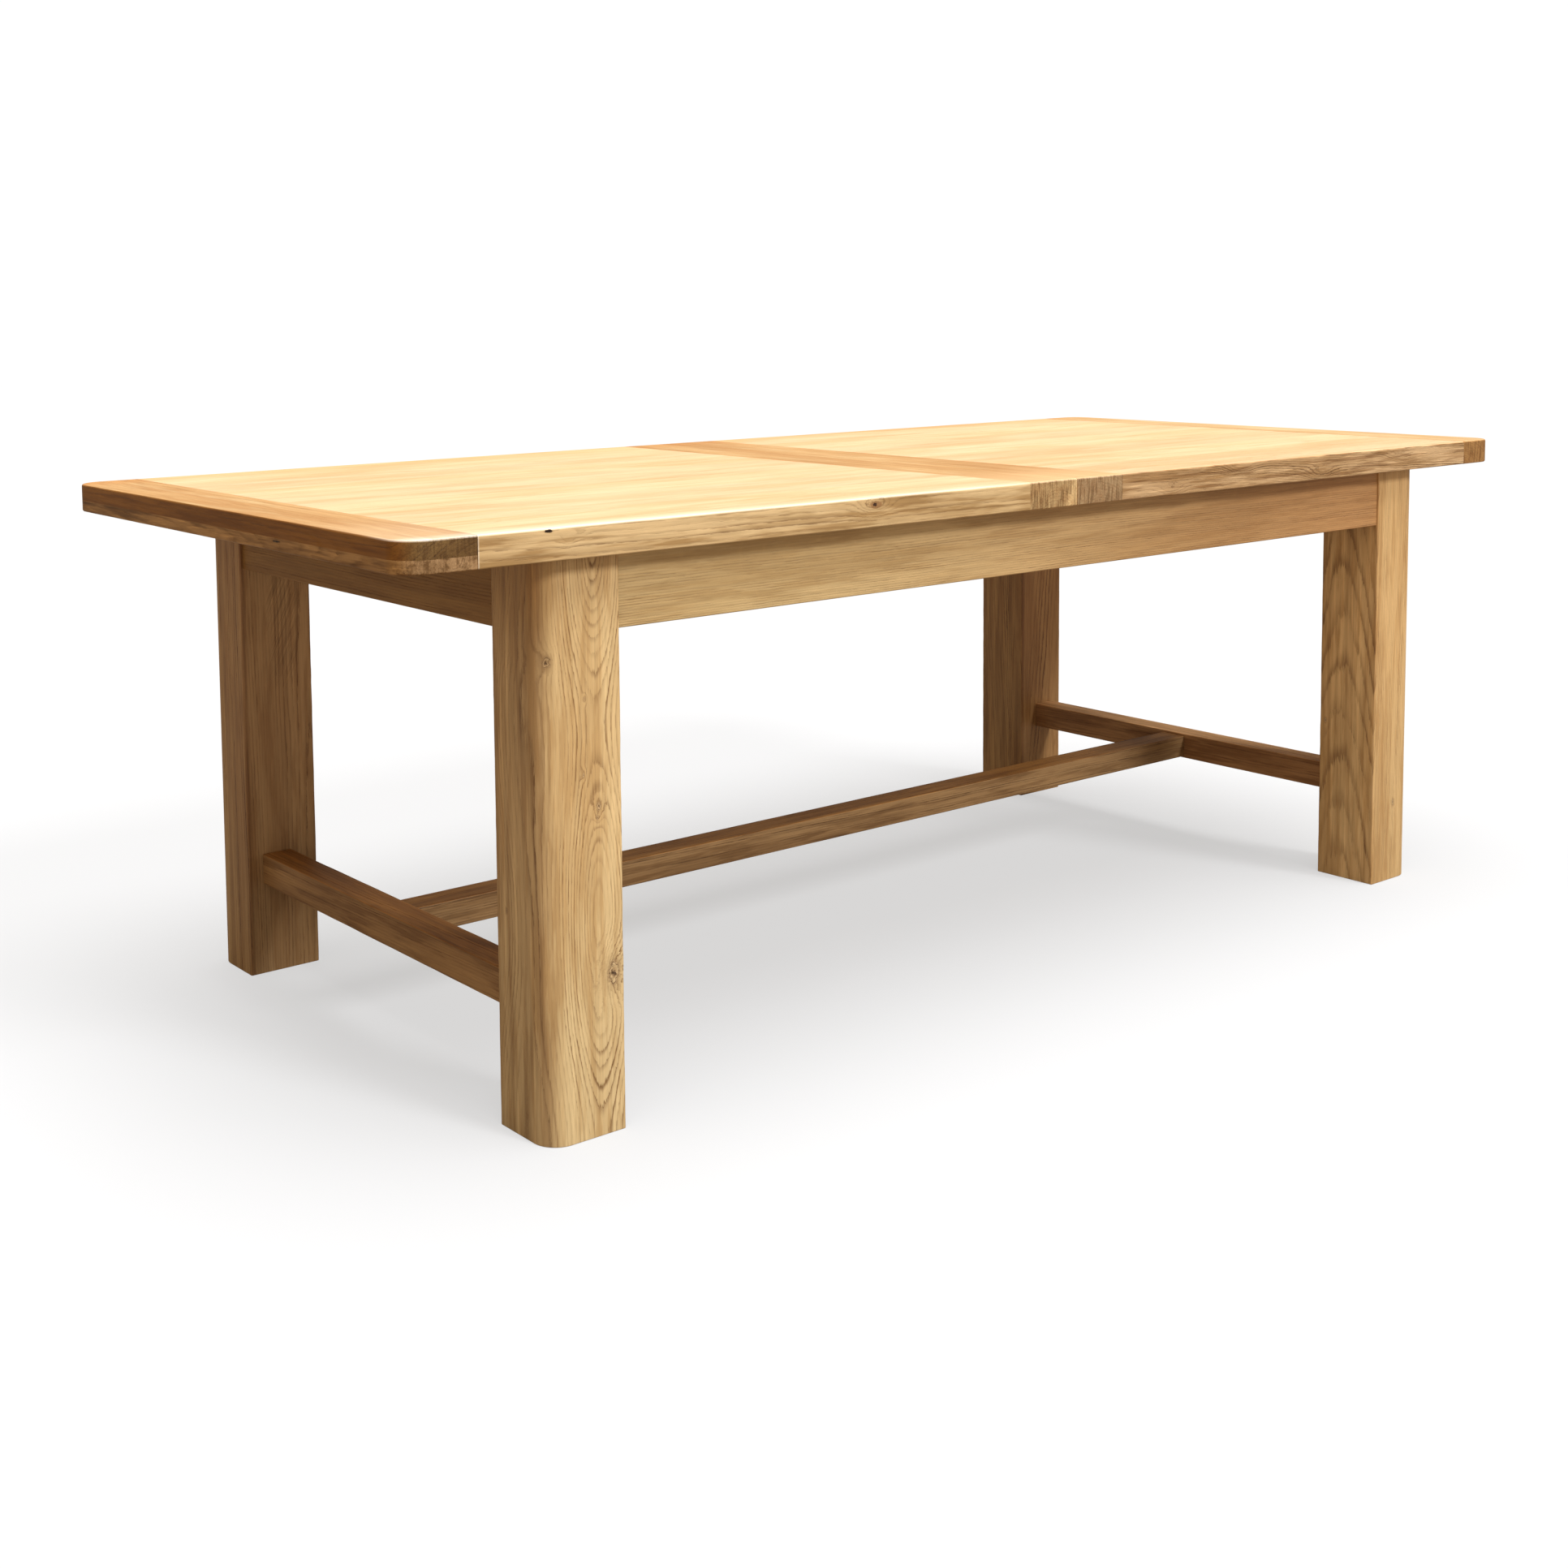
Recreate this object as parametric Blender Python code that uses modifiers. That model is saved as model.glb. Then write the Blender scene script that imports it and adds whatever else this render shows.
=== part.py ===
"""Extendable oak dining table: a fixed leg frame carrying two top halves that slide apart.

Metres, +Z up, origin on the floor under the middle. X runs along the table, Y across it.
"""

import math

import bmesh
import bpy
from mathutils import Matrix

# Overall sizes
LENGTH = 2.280
WIDTH = 1.000
HEIGHT = 0.780
FIT = 0.0003  # gap left between glued or screwed neighbours
SLIDE_FIT = 0.0005  # gap beside a surface that slides

# Top
TOP_T = 0.041
END_BOARD_W = 0.100
CLAMP_W = 0.102
CORNER_R = 0.040
TOP_EASE = 0.0030
BOTTOM_EASE = 0.0020
BOARD_COUNT = 7
BOARD_SPREAD = 0.085  # share by which one board's width strays from the average
SPLINE_T = 0.008
SPLINE_W = 0.024
SPLINE_END = 0.030  # how far a spline stops short of the table's edge
HALF_GAP = 0.0004
DOWEL_R = 0.006
DOWEL_L = 0.050
DOWEL_TIP = 0.002
DOWEL_Y = (-0.350, 0.0, 0.350)

# Legs and aprons
LEG_X = 0.118
LEG_Y = 0.112
LEG_INSET_X = 0.203
LEG_INSET_Y = 0.027
LEG_R = 0.035
LEG_EASE = 0.003
FOOT_EASE = 0.003
FRAME_TOP = 0.737
APRON_H = 0.095
APRON_T = 0.025
APRON_SET_X = 0.006  # set-back of an end apron from the leg faces
APRON_SET_Y = 0.004
APRON_EASE = 0.0015

# Stretchers
END_STRETCHER_W = 0.049
END_STRETCHER_H = 0.048
END_STRETCHER_TOP = 0.191
END_STRETCHER_IN = 0.049  # from a leg's outer face to the stretcher's middle
MID_STRETCHER_W = 0.051
MID_STRETCHER_H = 0.041
MID_STRETCHER_TOP = 0.187
STRETCHER_EASE = 0.002

# Corner braces and bolts
BRACE_T = 0.030
BRACE_H = 0.070
BRACE_CLEAR = 0.002
BOLT_R = 0.004
BOLT_TIP = 0.002
BOLT_HEAD_R = 0.0085
BOLT_HEAD_H = 0.005
BOLT_DOME = 0.0017
BOLT_IN_LEG = 0.045
BOLT_HOLE_R = 0.0044

# Sliding gear
EXTENSION = 0.225  # travel of each half
BEARER_X = (-0.450, 0.0, 0.450)
BEARER_W = 0.045
BEARER_H = 0.050
BEARER_TOP = 0.702
RUNNER_T = 0.031
RUNNER_OUTER = 0.620  # reach under the runner's own half
RUNNER_INNER = 0.420  # reach under the other half
RUNNER_Y = 0.160  # inner side of the inner runners
GUIDE_W = 0.032
GUIDE_L = 1.160
GUIDE_TOP = 0.7345
FENCE_W = 0.023
TONGUE_H = 0.008
TONGUE_W = 0.008
TONGUE_Z = 0.7205
STOP_L = 0.012
STOP_W = 0.026
STOP_H = 0.014

ROUND_STEPS = 24
CORNER_STEPS = 12
EASE_STEPS = 3
TINY = 0.00001

# Colours
OAK_TOP = (0.80, 0.58, 0.33)
OAK_END = (0.66, 0.40, 0.19)
OAK_FRAME = (0.55, 0.35, 0.18)
OAK_DARK = (0.34, 0.20, 0.11)
BEECH = (0.72, 0.55, 0.38)
STEEL = (0.55, 0.55, 0.56)

# Places that several pieces share
TOP_Z = HEIGHT - TOP_T
TOP_MID_Z = HEIGHT - TOP_T / 2
LEG_OUT_X = LENGTH / 2 - LEG_INSET_X
LEG_OUT_Y = WIDTH / 2 - LEG_INSET_Y
LEG_IN_X = LEG_OUT_X - LEG_X
LEG_IN_Y = LEG_OUT_Y - LEG_Y
APRON_IN_X = LEG_OUT_X - APRON_SET_X - APRON_T
APRON_IN_Y = LEG_OUT_Y - APRON_SET_Y - APRON_T
APRON_MID_Z = FRAME_TOP - APRON_H / 2


def clear_scene():
    for obj in list(bpy.data.objects):
        bpy.data.objects.remove(obj, do_unlink=True)


def new_collection(name):
    found = bpy.data.collections.new(name)
    bpy.context.scene.collection.children.link(found)
    return found


def new_material(name, color, roughness, metallic):
    material = bpy.data.materials.new(name)
    material.use_nodes = True
    shader = material.node_tree.nodes["Principled BSDF"]
    shader.inputs["Base Color"].default_value = (*color, 1.0)
    shader.inputs["Roughness"].default_value = roughness
    shader.inputs["Metallic"].default_value = metallic
    return material


def mesh_of(name, bm):
    bmesh.ops.recalc_face_normals(bm, faces=bm.faces)
    mesh = bpy.data.meshes.new(name)
    bm.to_mesh(mesh)
    bm.free()
    return mesh


def place(obj, location, rotation, parent):
    """Sets an object at a place in the world, under its slide's empty if it has one."""
    obj.rotation_euler = rotation
    if parent is None:
        obj.location = location
        return
    obj.parent = parent
    obj.location = [mine - base for mine, base in zip(location, parent.location)]


def add_part(name, mesh, look, location=(0, 0, 0), rotation=(0, 0, 0), parent=None):
    """Adds a named piece. look is its colour, roughness and metallic value."""
    obj = bpy.data.objects.new(name, mesh)
    table.objects.link(obj)
    mesh.materials.append(new_material(name, *look))
    place(obj, location, rotation, parent)
    return obj


def add_cutter(name, mesh, location, rotation=(0, 0, 0)):
    obj = bpy.data.objects.new(name, mesh)
    cutters.objects.link(obj)
    place(obj, location, rotation, None)
    obj.hide_render = True
    obj.display_type = "WIRE"
    return obj


def cut(obj, tool):
    modifier = obj.modifiers.new(tool.name, "BOOLEAN")
    modifier.operation = "DIFFERENCE"
    modifier.solver = "EXACT"
    modifier.object = tool


def round_edges(bm, wanted, width, steps=EASE_STEPS):
    """Rounds every edge that wanted accepts, given its two end points."""
    edges = [edge for edge in bm.edges if wanted(*(vert.co for vert in edge.verts))]
    bmesh.ops.bevel(
        bm, geom=edges, offset=width, segments=steps, profile=0.5, affect="EDGES"
    )


def block(size):
    """A box of this size about the origin."""
    bm = bmesh.new()
    bmesh.ops.create_cube(bm, size=1.0)
    bmesh.ops.scale(bm, vec=size, verts=bm.verts)
    return bm


def eased_bar(size, width):
    """A box with its four long edges rounded."""
    bm = block(size)
    long_axis = size.index(max(size))
    round_edges(bm, lambda a, b: abs(a[long_axis] - b[long_axis]) > TINY, width, 2)
    return bm


def extruded(points, depth):
    """A flat outline thickened by depth about its own plane."""
    outline = bpy.data.curves.new("outline", "CURVE")
    outline.dimensions = "2D"
    outline.fill_mode = "BOTH"
    outline.extrude = depth / 2
    spline = outline.splines.new("POLY")
    spline.points.add(len(points) - 1)
    for point, (x, y) in zip(spline.points, points):
        point.co = (x, y, 0, 1)
    spline.use_cyclic_u = True
    holder = bpy.data.objects.new("outline", outline)
    cutters.objects.link(holder)
    graph = bpy.context.evaluated_depsgraph_get()
    mesh = bpy.data.meshes.new_from_object(holder.evaluated_get(graph))
    bpy.data.objects.remove(holder)
    bpy.data.curves.remove(outline)
    bm = bmesh.new()
    bm.from_mesh(mesh)
    bpy.data.meshes.remove(mesh)
    bmesh.ops.remove_doubles(bm, verts=bm.verts, dist=TINY)
    bmesh.ops.dissolve_limit(bm, angle_limit=0.001, verts=bm.verts, edges=bm.edges)
    return bm


def rounded_outline(size_x, size_y, radii):
    """A rectangle about the origin. radii goes round its corners from the one at +x, +y."""
    points = []
    signs = ((1, 1), (-1, 1), (-1, -1), (1, -1))
    for quarter, ((sign_x, sign_y), radius) in enumerate(zip(signs, radii)):
        middle_x = sign_x * (size_x / 2 - radius)
        middle_y = sign_y * (size_y / 2 - radius)
        steps = CORNER_STEPS if radius > 0.01 else EASE_STEPS
        angles = [math.radians(90 * (quarter + i / steps)) for i in range(steps + 1)]
        if radius == 0:
            angles = [0]
        points += [
            (middle_x + radius * math.cos(turn), middle_y + radius * math.sin(turn))
            for turn in angles
        ]
    return points


def bar_along_x(section, x_low, x_high):
    """A Y, Z section carried along X."""
    bm = extruded(section, x_high - x_low)
    axes = Matrix(((0, 0, 1), (1, 0, 0), (0, 1, 0)))
    bmesh.ops.rotate(bm, matrix=axes, verts=bm.verts)
    bmesh.ops.translate(bm, vec=((x_low + x_high) / 2, 0, 0), verts=bm.verts)
    return bm


def rod(radius, low, high):
    """A plain cylinder along Z, used to bore holes."""
    bm = bmesh.new()
    bmesh.ops.create_cone(
        bm,
        cap_ends=True,
        segments=ROUND_STEPS,
        radius1=radius,
        radius2=radius,
        depth=high - low,
    )
    bmesh.ops.translate(bm, vec=(0, 0, (low + high) / 2), verts=bm.verts)
    return bm


def add_turned(name, profile, look, location, rotation, parent=None):
    """A turned piece. profile lists (radius, height) down its outer side, top to bottom."""
    mesh = bpy.data.meshes.new(name)
    points = [(radius, 0, height) for radius, height in profile]
    mesh.from_pydata(points, [(i, i + 1) for i in range(len(points) - 1)], [])
    obj = add_part(name, mesh, look, location, rotation, parent)
    screw = obj.modifiers.new("turn", "SCREW")
    screw.steps = ROUND_STEPS
    screw.render_steps = ROUND_STEPS
    screw.use_merge_vertices = True
    screw.merge_threshold = TINY
    screw.use_smooth_shade = False
    return obj


def board_seams():
    """Y positions of the long boards' edges, from the front of the table to the back."""
    shares = [1 + BOARD_SPREAD * math.sin(2.3 * i + 0.6) for i in range(BOARD_COUNT)]
    seams = [-WIDTH / 2]
    for share in shares:
        seams.append(seams[-1] + WIDTH * share / sum(shares))
    return seams


def ease_rims(bm, is_rim):
    """Rounds a top board's upper and lower edges where is_rim accepts the two end points."""
    for level, width in ((TOP_T / 2, TOP_EASE), (-TOP_T / 2, BOTTOM_EASE)):

        def wanted(a, b, z=level):
            return abs(a.z - z) < TINY and abs(b.z - z) < TINY and is_rim(a, b)

        round_edges(bm, wanted, width)


def add_end_board(side, name, parent):
    """The cross-grain board at the outer end, with both outer corners rounded."""
    radii = (0, CORNER_R, CORNER_R, 0) if side < 0 else (CORNER_R, 0, 0, CORNER_R)
    width = END_BOARD_W - FIT / 2
    bm = extruded(rounded_outline(width, WIDTH, radii), TOP_T)
    # Every rim but the seam's, which is the one full-width edge.
    ease_rims(bm, lambda a, b: (a - b).length < WIDTH - TINY)
    location = (side * (LENGTH / 2 - width / 2), 0, TOP_MID_Z)
    return add_part(name, mesh_of(name, bm), (OAK_END, 0.45, 0), location, parent=parent)


def add_clamp_board(side, name, parent):
    """The cross-grain board at the middle joint."""
    width = CLAMP_W - HALF_GAP / 2 - FIT / 2
    bm = block((width, WIDTH, TOP_T))
    ease_rims(bm, lambda a, b: abs(a.y - b.y) < TINY)
    location = (side * (HALF_GAP / 2 + width / 2), 0, TOP_MID_Z)
    return add_part(name, mesh_of(name, bm), (OAK_END, 0.45, 0), location, parent=parent)


def add_long_boards(side, side_name, parent):
    """The long-grain boards between the clamp board and the end board."""
    near = CLAMP_W + FIT / 2
    far = LENGTH / 2 - END_BOARD_W - FIT / 2
    seams = board_seams()
    made = []
    for index in range(BOARD_COUNT):
        low = seams[index] + (FIT / 2 if index else 0)
        high = seams[index + 1] - (FIT / 2 if index < BOARD_COUNT - 1 else 0)
        middle = (low + high) / 2
        bm = block((far - near, high - low, TOP_T))

        def on_table_edge(a, b, y=middle):
            return all(abs(abs(co.y + y) - WIDTH / 2) < TINY for co in (a, b))

        ease_rims(bm, on_table_edge)
        name = f"{side_name}_top_board_{index + 1}"
        location = (side * (near + far) / 2, middle, TOP_MID_Z)
        look = (OAK_TOP, 0.4, 0)
        made.append(add_part(name, mesh_of(name, bm), look, location, parent=parent))
    return made


def add_spline(x, name, parts, parent):
    """A loose tongue along the seam at x, in a stopped groove cut in every part beside it."""
    length = WIDTH - 2 * SPLINE_END
    location = (x, 0, TOP_MID_Z)
    groove = block((SPLINE_W + 2 * FIT, length + 2 * FIT, SPLINE_T + 2 * FIT))
    tool = add_cutter(f"cut_{name}", mesh_of(f"cut_{name}", groove), location)
    for part in parts:
        cut(part, tool)
    tongue = mesh_of(name, block((SPLINE_W, length, SPLINE_T)))
    add_part(name, tongue, (BEECH, 0.6, 0), location, parent=parent)


def runner_section(y_plain, y_grooved, side_y):
    """Y, Z section of a runner: a bar with a groove in the side at y_grooved."""
    bottom = BEARER_TOP + SLIDE_FIT
    top = TOP_Z - SLIDE_FIT
    low = TONGUE_Z - TONGUE_H / 2 - SLIDE_FIT
    high = TONGUE_Z + TONGUE_H / 2 + SLIDE_FIT
    inward = math.copysign(TONGUE_W + 2 * SLIDE_FIT, y_plain - y_grooved)
    back = y_grooved + inward
    points = [
        (y_plain, bottom),
        (y_grooved, bottom),
        (y_grooved, low),
        (back, low),
        (back, high),
        (y_grooved, high),
        (y_grooved, top),
        (y_plain, top),
    ]
    return [(side_y * y, z) for y, z in points]


def add_runners(side, side_name, parent):
    """The two runners of one half, each with the stop block that ends its travel."""
    near = RUNNER_Y
    far = near + 2 * RUNNER_T + GUIDE_W + 2 * SLIDE_FIT
    plain, grooved = (near, near + RUNNER_T) if side < 0 else (far, far - RUNNER_T)
    x_low, x_high = sorted((side * RUNNER_OUTER, -side * RUNNER_INNER))
    stop_x = -side * (BEARER_W / 2 + SLIDE_FIT + STOP_L / 2 + EXTENSION)
    stop_z = BEARER_TOP + SLIDE_FIT - FIT - STOP_H / 2
    for side_y, place_name in ((-1, "front"), (1, "back")):
        name = f"{side_name}_{place_name}_runner"
        bm = bar_along_x(runner_section(plain, grooved, side_y), x_low, x_high)
        add_part(name, mesh_of(name, bm), (BEECH, 0.55, 0), parent=parent)
        stop = mesh_of(f"{name}_stop", block((STOP_L, STOP_W, STOP_H)))
        location = (stop_x, side_y * (plain + grooved) / 2, stop_z)
        add_part(f"{name}_stop", stop, (BEECH, 0.6, 0), location, parent=parent)


def add_half(side, side_name):
    """One half of the top with its runners. side is -1 for the left half."""
    slide = bpy.data.objects.new(f"{side_name}_top_slide", None)
    table.objects.link(slide)
    slide.location = (0, 0, TOP_Z)
    end = add_end_board(side, f"{side_name}_end_board", slide)
    clamp = add_clamp_board(side, f"{side_name}_clamp_board", slide)
    boards = add_long_boards(side, side_name, slide)
    end_seam = side * (LENGTH / 2 - END_BOARD_W)
    add_spline(end_seam, f"{side_name}_end_spline", [end] + boards, slide)
    add_spline(side * CLAMP_W, f"{side_name}_clamp_spline", [clamp] + boards, slide)
    add_runners(side, side_name, slide)
    return clamp, slide


def add_dowels(left_clamp, right_clamp, parent):
    """Dowels glued in the left clamp board, which enter the right one as the top closes."""
    along_x = (0, math.radians(90), 0)
    end = DOWEL_L / 2
    profile = [
        (0, end),
        (DOWEL_R - DOWEL_TIP, end),
        (DOWEL_R, end - DOWEL_TIP),
        (DOWEL_R, DOWEL_TIP - end),
        (DOWEL_R - DOWEL_TIP, -end),
        (0, -end),
    ]
    for index, y in enumerate(DOWEL_Y):
        name = f"register_dowel_{index + 1}"
        location = (0, y, TOP_MID_Z)
        bore = mesh_of(f"cut_{name}", rod(DOWEL_R + SLIDE_FIT, -end - FIT, end + FIT))
        tool = add_cutter(f"cut_{name}", bore, location, along_x)
        cut(left_clamp, tool)
        cut(right_clamp, tool)
        add_turned(name, profile, (BEECH, 0.5, 0), location, along_x, parent)


def add_leg(sign_x, sign_y, name):
    """A square leg. Its outer corner is well rounded and the other three are just eased."""
    signs = ((1, 1), (-1, 1), (-1, -1), (1, -1))
    radii = [LEG_R if pair == (sign_x, sign_y) else LEG_EASE for pair in signs]
    bm = extruded(rounded_outline(LEG_X, LEG_Y, radii), FRAME_TOP)
    foot = -FRAME_TOP / 2
    round_edges(bm, lambda a, b: max(a.z, b.z) < foot + TINY, FOOT_EASE, 2)
    location = (
        sign_x * (LEG_OUT_X - LEG_X / 2),
        sign_y * (LEG_OUT_Y - LEG_Y / 2),
        FRAME_TOP / 2,
    )
    return add_part(name, mesh_of(name, bm), (OAK_FRAME, 0.45, 0), location)


def add_bar(name, size, ease, look, location):
    add_part(name, mesh_of(name, eased_bar(size, ease)), look, location)


def add_aprons():
    look = (OAK_FRAME, 0.45, 0)
    size = (2 * (LEG_IN_X - FIT), APRON_T, APRON_H)
    for sign, name in ((-1, "front_apron"), (1, "back_apron")):
        y = sign * (APRON_IN_Y + APRON_T / 2)
        add_bar(name, size, APRON_EASE, look, (0, y, APRON_MID_Z))
    size = (APRON_T, 2 * (LEG_IN_Y - FIT), APRON_H)
    for sign, name in ((-1, "left_apron"), (1, "right_apron")):
        x = sign * (APRON_IN_X + APRON_T / 2)
        add_bar(name, size, APRON_EASE, look, (x, 0, APRON_MID_Z))


def add_stretchers():
    look = (OAK_DARK, 0.5, 0)
    x = LEG_OUT_X - END_STRETCHER_IN
    z = END_STRETCHER_TOP - END_STRETCHER_H / 2
    size = (END_STRETCHER_W, 2 * (LEG_IN_Y - FIT), END_STRETCHER_H)
    for sign, name in ((-1, "left_stretcher"), (1, "right_stretcher")):
        add_bar(name, size, STRETCHER_EASE, look, (sign * x, 0, z))
    reach = x - END_STRETCHER_W / 2 - FIT
    size = (2 * reach, MID_STRETCHER_W, MID_STRETCHER_H)
    z = MID_STRETCHER_TOP - MID_STRETCHER_H / 2
    add_bar("centre_stretcher", size, STRETCHER_EASE, look, (0, 0, z))


def add_corner(sign_x, sign_y, name, leg):
    """The brace across one corner of the frame, and the bolt that draws the leg into it."""
    wall_x = APRON_IN_X - FIT
    wall_y = APRON_IN_Y - FIT
    # Both long sides of the brace lie at 45 degrees, so x + y is the same all along each.
    near = LEG_IN_X + LEG_IN_Y - BRACE_CLEAR * math.sqrt(2)
    far = near - BRACE_T * math.sqrt(2)
    outline = [
        (near - wall_y, wall_y),
        (far - wall_y, wall_y),
        (wall_x, far - wall_x),
        (wall_x, near - wall_x),
    ]
    bm = extruded([(sign_x * x, sign_y * y) for x, y in outline], BRACE_H)
    brace_name = f"{name}_corner_brace"
    mesh = mesh_of(brace_name, bm)
    brace = add_part(brace_name, mesh, (BEECH, 0.6, 0), (0, 0, APRON_MID_Z))

    location = (sign_x * LEG_IN_X, sign_y * LEG_IN_Y, APRON_MID_Z)
    inward = (0, math.radians(90), math.atan2(-sign_y, -sign_x))
    seat = BRACE_CLEAR + BRACE_T + FIT
    crown = seat + BOLT_HEAD_H
    profile = [
        (0, crown),
        (BOLT_HEAD_R - BOLT_DOME, crown),
        (BOLT_HEAD_R, crown - BOLT_DOME),
        (BOLT_HEAD_R, seat),
        (BOLT_R, seat),
        (BOLT_R, BOLT_TIP - BOLT_IN_LEG),
        (BOLT_R - BOLT_TIP, -BOLT_IN_LEG),
        (0, -BOLT_IN_LEG),
    ]
    add_turned(f"{name}_leg_bolt", profile, (STEEL, 0.35, 1.0), location, inward)
    bore = mesh_of(f"cut_{name}_bolt", rod(BOLT_HOLE_R, -BOLT_IN_LEG - FIT, crown))
    tool = add_cutter(f"cut_{name}_bolt", bore, location, inward)
    cut(brace, tool)
    cut(leg, tool)


def add_gear():
    """The fixed cross bearers, and the rails and fences that the runners slide along."""
    size = (BEARER_W, 2 * (APRON_IN_Y - FIT), BEARER_H)
    for x, name in zip(BEARER_X, ("left_bearer", "middle_bearer", "right_bearer")):
        location = (x, 0, BEARER_TOP - BEARER_H / 2)
        add_bar(name, size, STRETCHER_EASE, (BEECH, 0.6, 0), location)

    bottom = BEARER_TOP + FIT
    tongue_low = TONGUE_Z - TONGUE_H / 2
    tongue_high = TONGUE_Z + TONGUE_H / 2
    near = RUNNER_Y + RUNNER_T + SLIDE_FIT
    far = near + GUIDE_W
    section = [
        (near, bottom),
        (far, bottom),
        (far, tongue_low),
        (far + TONGUE_W, tongue_low),
        (far + TONGUE_W, tongue_high),
        (far, tongue_high),
        (far, GUIDE_TOP),
        (near, GUIDE_TOP),
        (near, tongue_high),
        (near - TONGUE_W, tongue_high),
        (near - TONGUE_W, tongue_low),
        (near, tongue_low),
    ]
    fence_y = far + RUNNER_T + 2 * SLIDE_FIT + FENCE_W / 2
    look = (BEECH, 0.55, 0)
    for side_y, name in ((-1, "front"), (1, "back")):
        points = [(side_y * y, z) for y, z in section]
        rail = mesh_of(f"{name}_guide_rail", bar_along_x(points, -GUIDE_L / 2, GUIDE_L / 2))
        add_part(f"{name}_guide_rail", rail, look)
        fence = mesh_of(f"{name}_guide_fence", block((GUIDE_L, FENCE_W, GUIDE_TOP - bottom)))
        location = (0, side_y * fence_y, (bottom + GUIDE_TOP) / 2)
        add_part(f"{name}_guide_fence", fence, look, location)


clear_scene()
table = new_collection("extendable_dining_table")
cutters = new_collection("cutters")

for sign_x, name_x in ((-1, "left"), (1, "right")):
    for sign_y, name_y in ((-1, "front"), (1, "back")):
        corner_name = f"{name_y}_{name_x}"
        new_leg = add_leg(sign_x, sign_y, f"{corner_name}_leg")
        add_corner(sign_x, sign_y, corner_name, new_leg)
add_aprons()
add_stretchers()
add_gear()
left_clamp, left_slide = add_half(-1, "left")
right_clamp, right_slide = add_half(1, "right")
add_dowels(left_clamp, right_clamp, left_slide)
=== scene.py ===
"""Extendable oak dining table: finer boards, procedural oak and a studio round the CAD frame.

Metres, +Z up. Every piece is built where its CAD node lies and rides on that node's body.
"""

import functools
import math

import bmesh
import bpy
from mathutils import Matrix, Vector, noise


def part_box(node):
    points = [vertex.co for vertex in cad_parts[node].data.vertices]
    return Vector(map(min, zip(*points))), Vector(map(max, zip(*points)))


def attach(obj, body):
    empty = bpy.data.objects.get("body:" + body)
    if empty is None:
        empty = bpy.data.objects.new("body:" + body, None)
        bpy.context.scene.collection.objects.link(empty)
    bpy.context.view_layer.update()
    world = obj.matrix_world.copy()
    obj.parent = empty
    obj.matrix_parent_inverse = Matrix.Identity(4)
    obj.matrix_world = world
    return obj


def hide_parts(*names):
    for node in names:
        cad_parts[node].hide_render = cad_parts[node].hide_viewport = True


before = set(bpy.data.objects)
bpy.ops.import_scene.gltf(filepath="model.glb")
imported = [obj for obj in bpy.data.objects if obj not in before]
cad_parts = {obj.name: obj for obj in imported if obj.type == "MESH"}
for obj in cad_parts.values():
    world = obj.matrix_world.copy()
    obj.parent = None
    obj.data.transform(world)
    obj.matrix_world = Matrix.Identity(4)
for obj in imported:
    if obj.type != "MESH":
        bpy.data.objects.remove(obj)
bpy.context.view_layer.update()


def new_object(name, data):
    obj = bpy.data.objects.new(name, data)
    bpy.context.scene.collection.objects.link(obj)
    return obj


# ------------------------ camera
CAMERA_AT = (-2.2497, -2.4550, 1.0497)
CAMERA_AZIMUTH = 0.6602  # radians clockwise from +Y
CAMERA_DIP = 0.0861  # radians below the horizon
CAMERA_ROLL = -0.0105  # radians
SENSOR = 36.0
LENS = 45.553
SHIFT = (0.0619, -0.2000)
CLIP_END = 200.0


def add_camera():
    azimuth, dip, roll = CAMERA_AZIMUTH, CAMERA_DIP, CAMERA_ROLL
    level = math.cos(dip)
    forward = Vector((math.sin(azimuth) * level, math.cos(azimuth) * level, -math.sin(dip)))
    across = Vector((math.cos(azimuth), -math.sin(azimuth), 0.0))
    upright = across.cross(forward)
    right = across * math.cos(roll) + upright * math.sin(roll)
    up = upright * math.cos(roll) - across * math.sin(roll)
    data = bpy.data.cameras.new("view_camera")
    data.sensor_fit = "HORIZONTAL"
    data.sensor_width = SENSOR
    data.lens = LENS
    data.shift_x, data.shift_y = SHIFT
    data.clip_end = CLIP_END
    camera = new_object("view_camera", data)
    turn = Matrix((right, up, -forward)).transposed()
    camera.matrix_world = Matrix.Translation(CAMERA_AT) @ turn.to_4x4()
    bpy.context.scene.camera = camera


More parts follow.
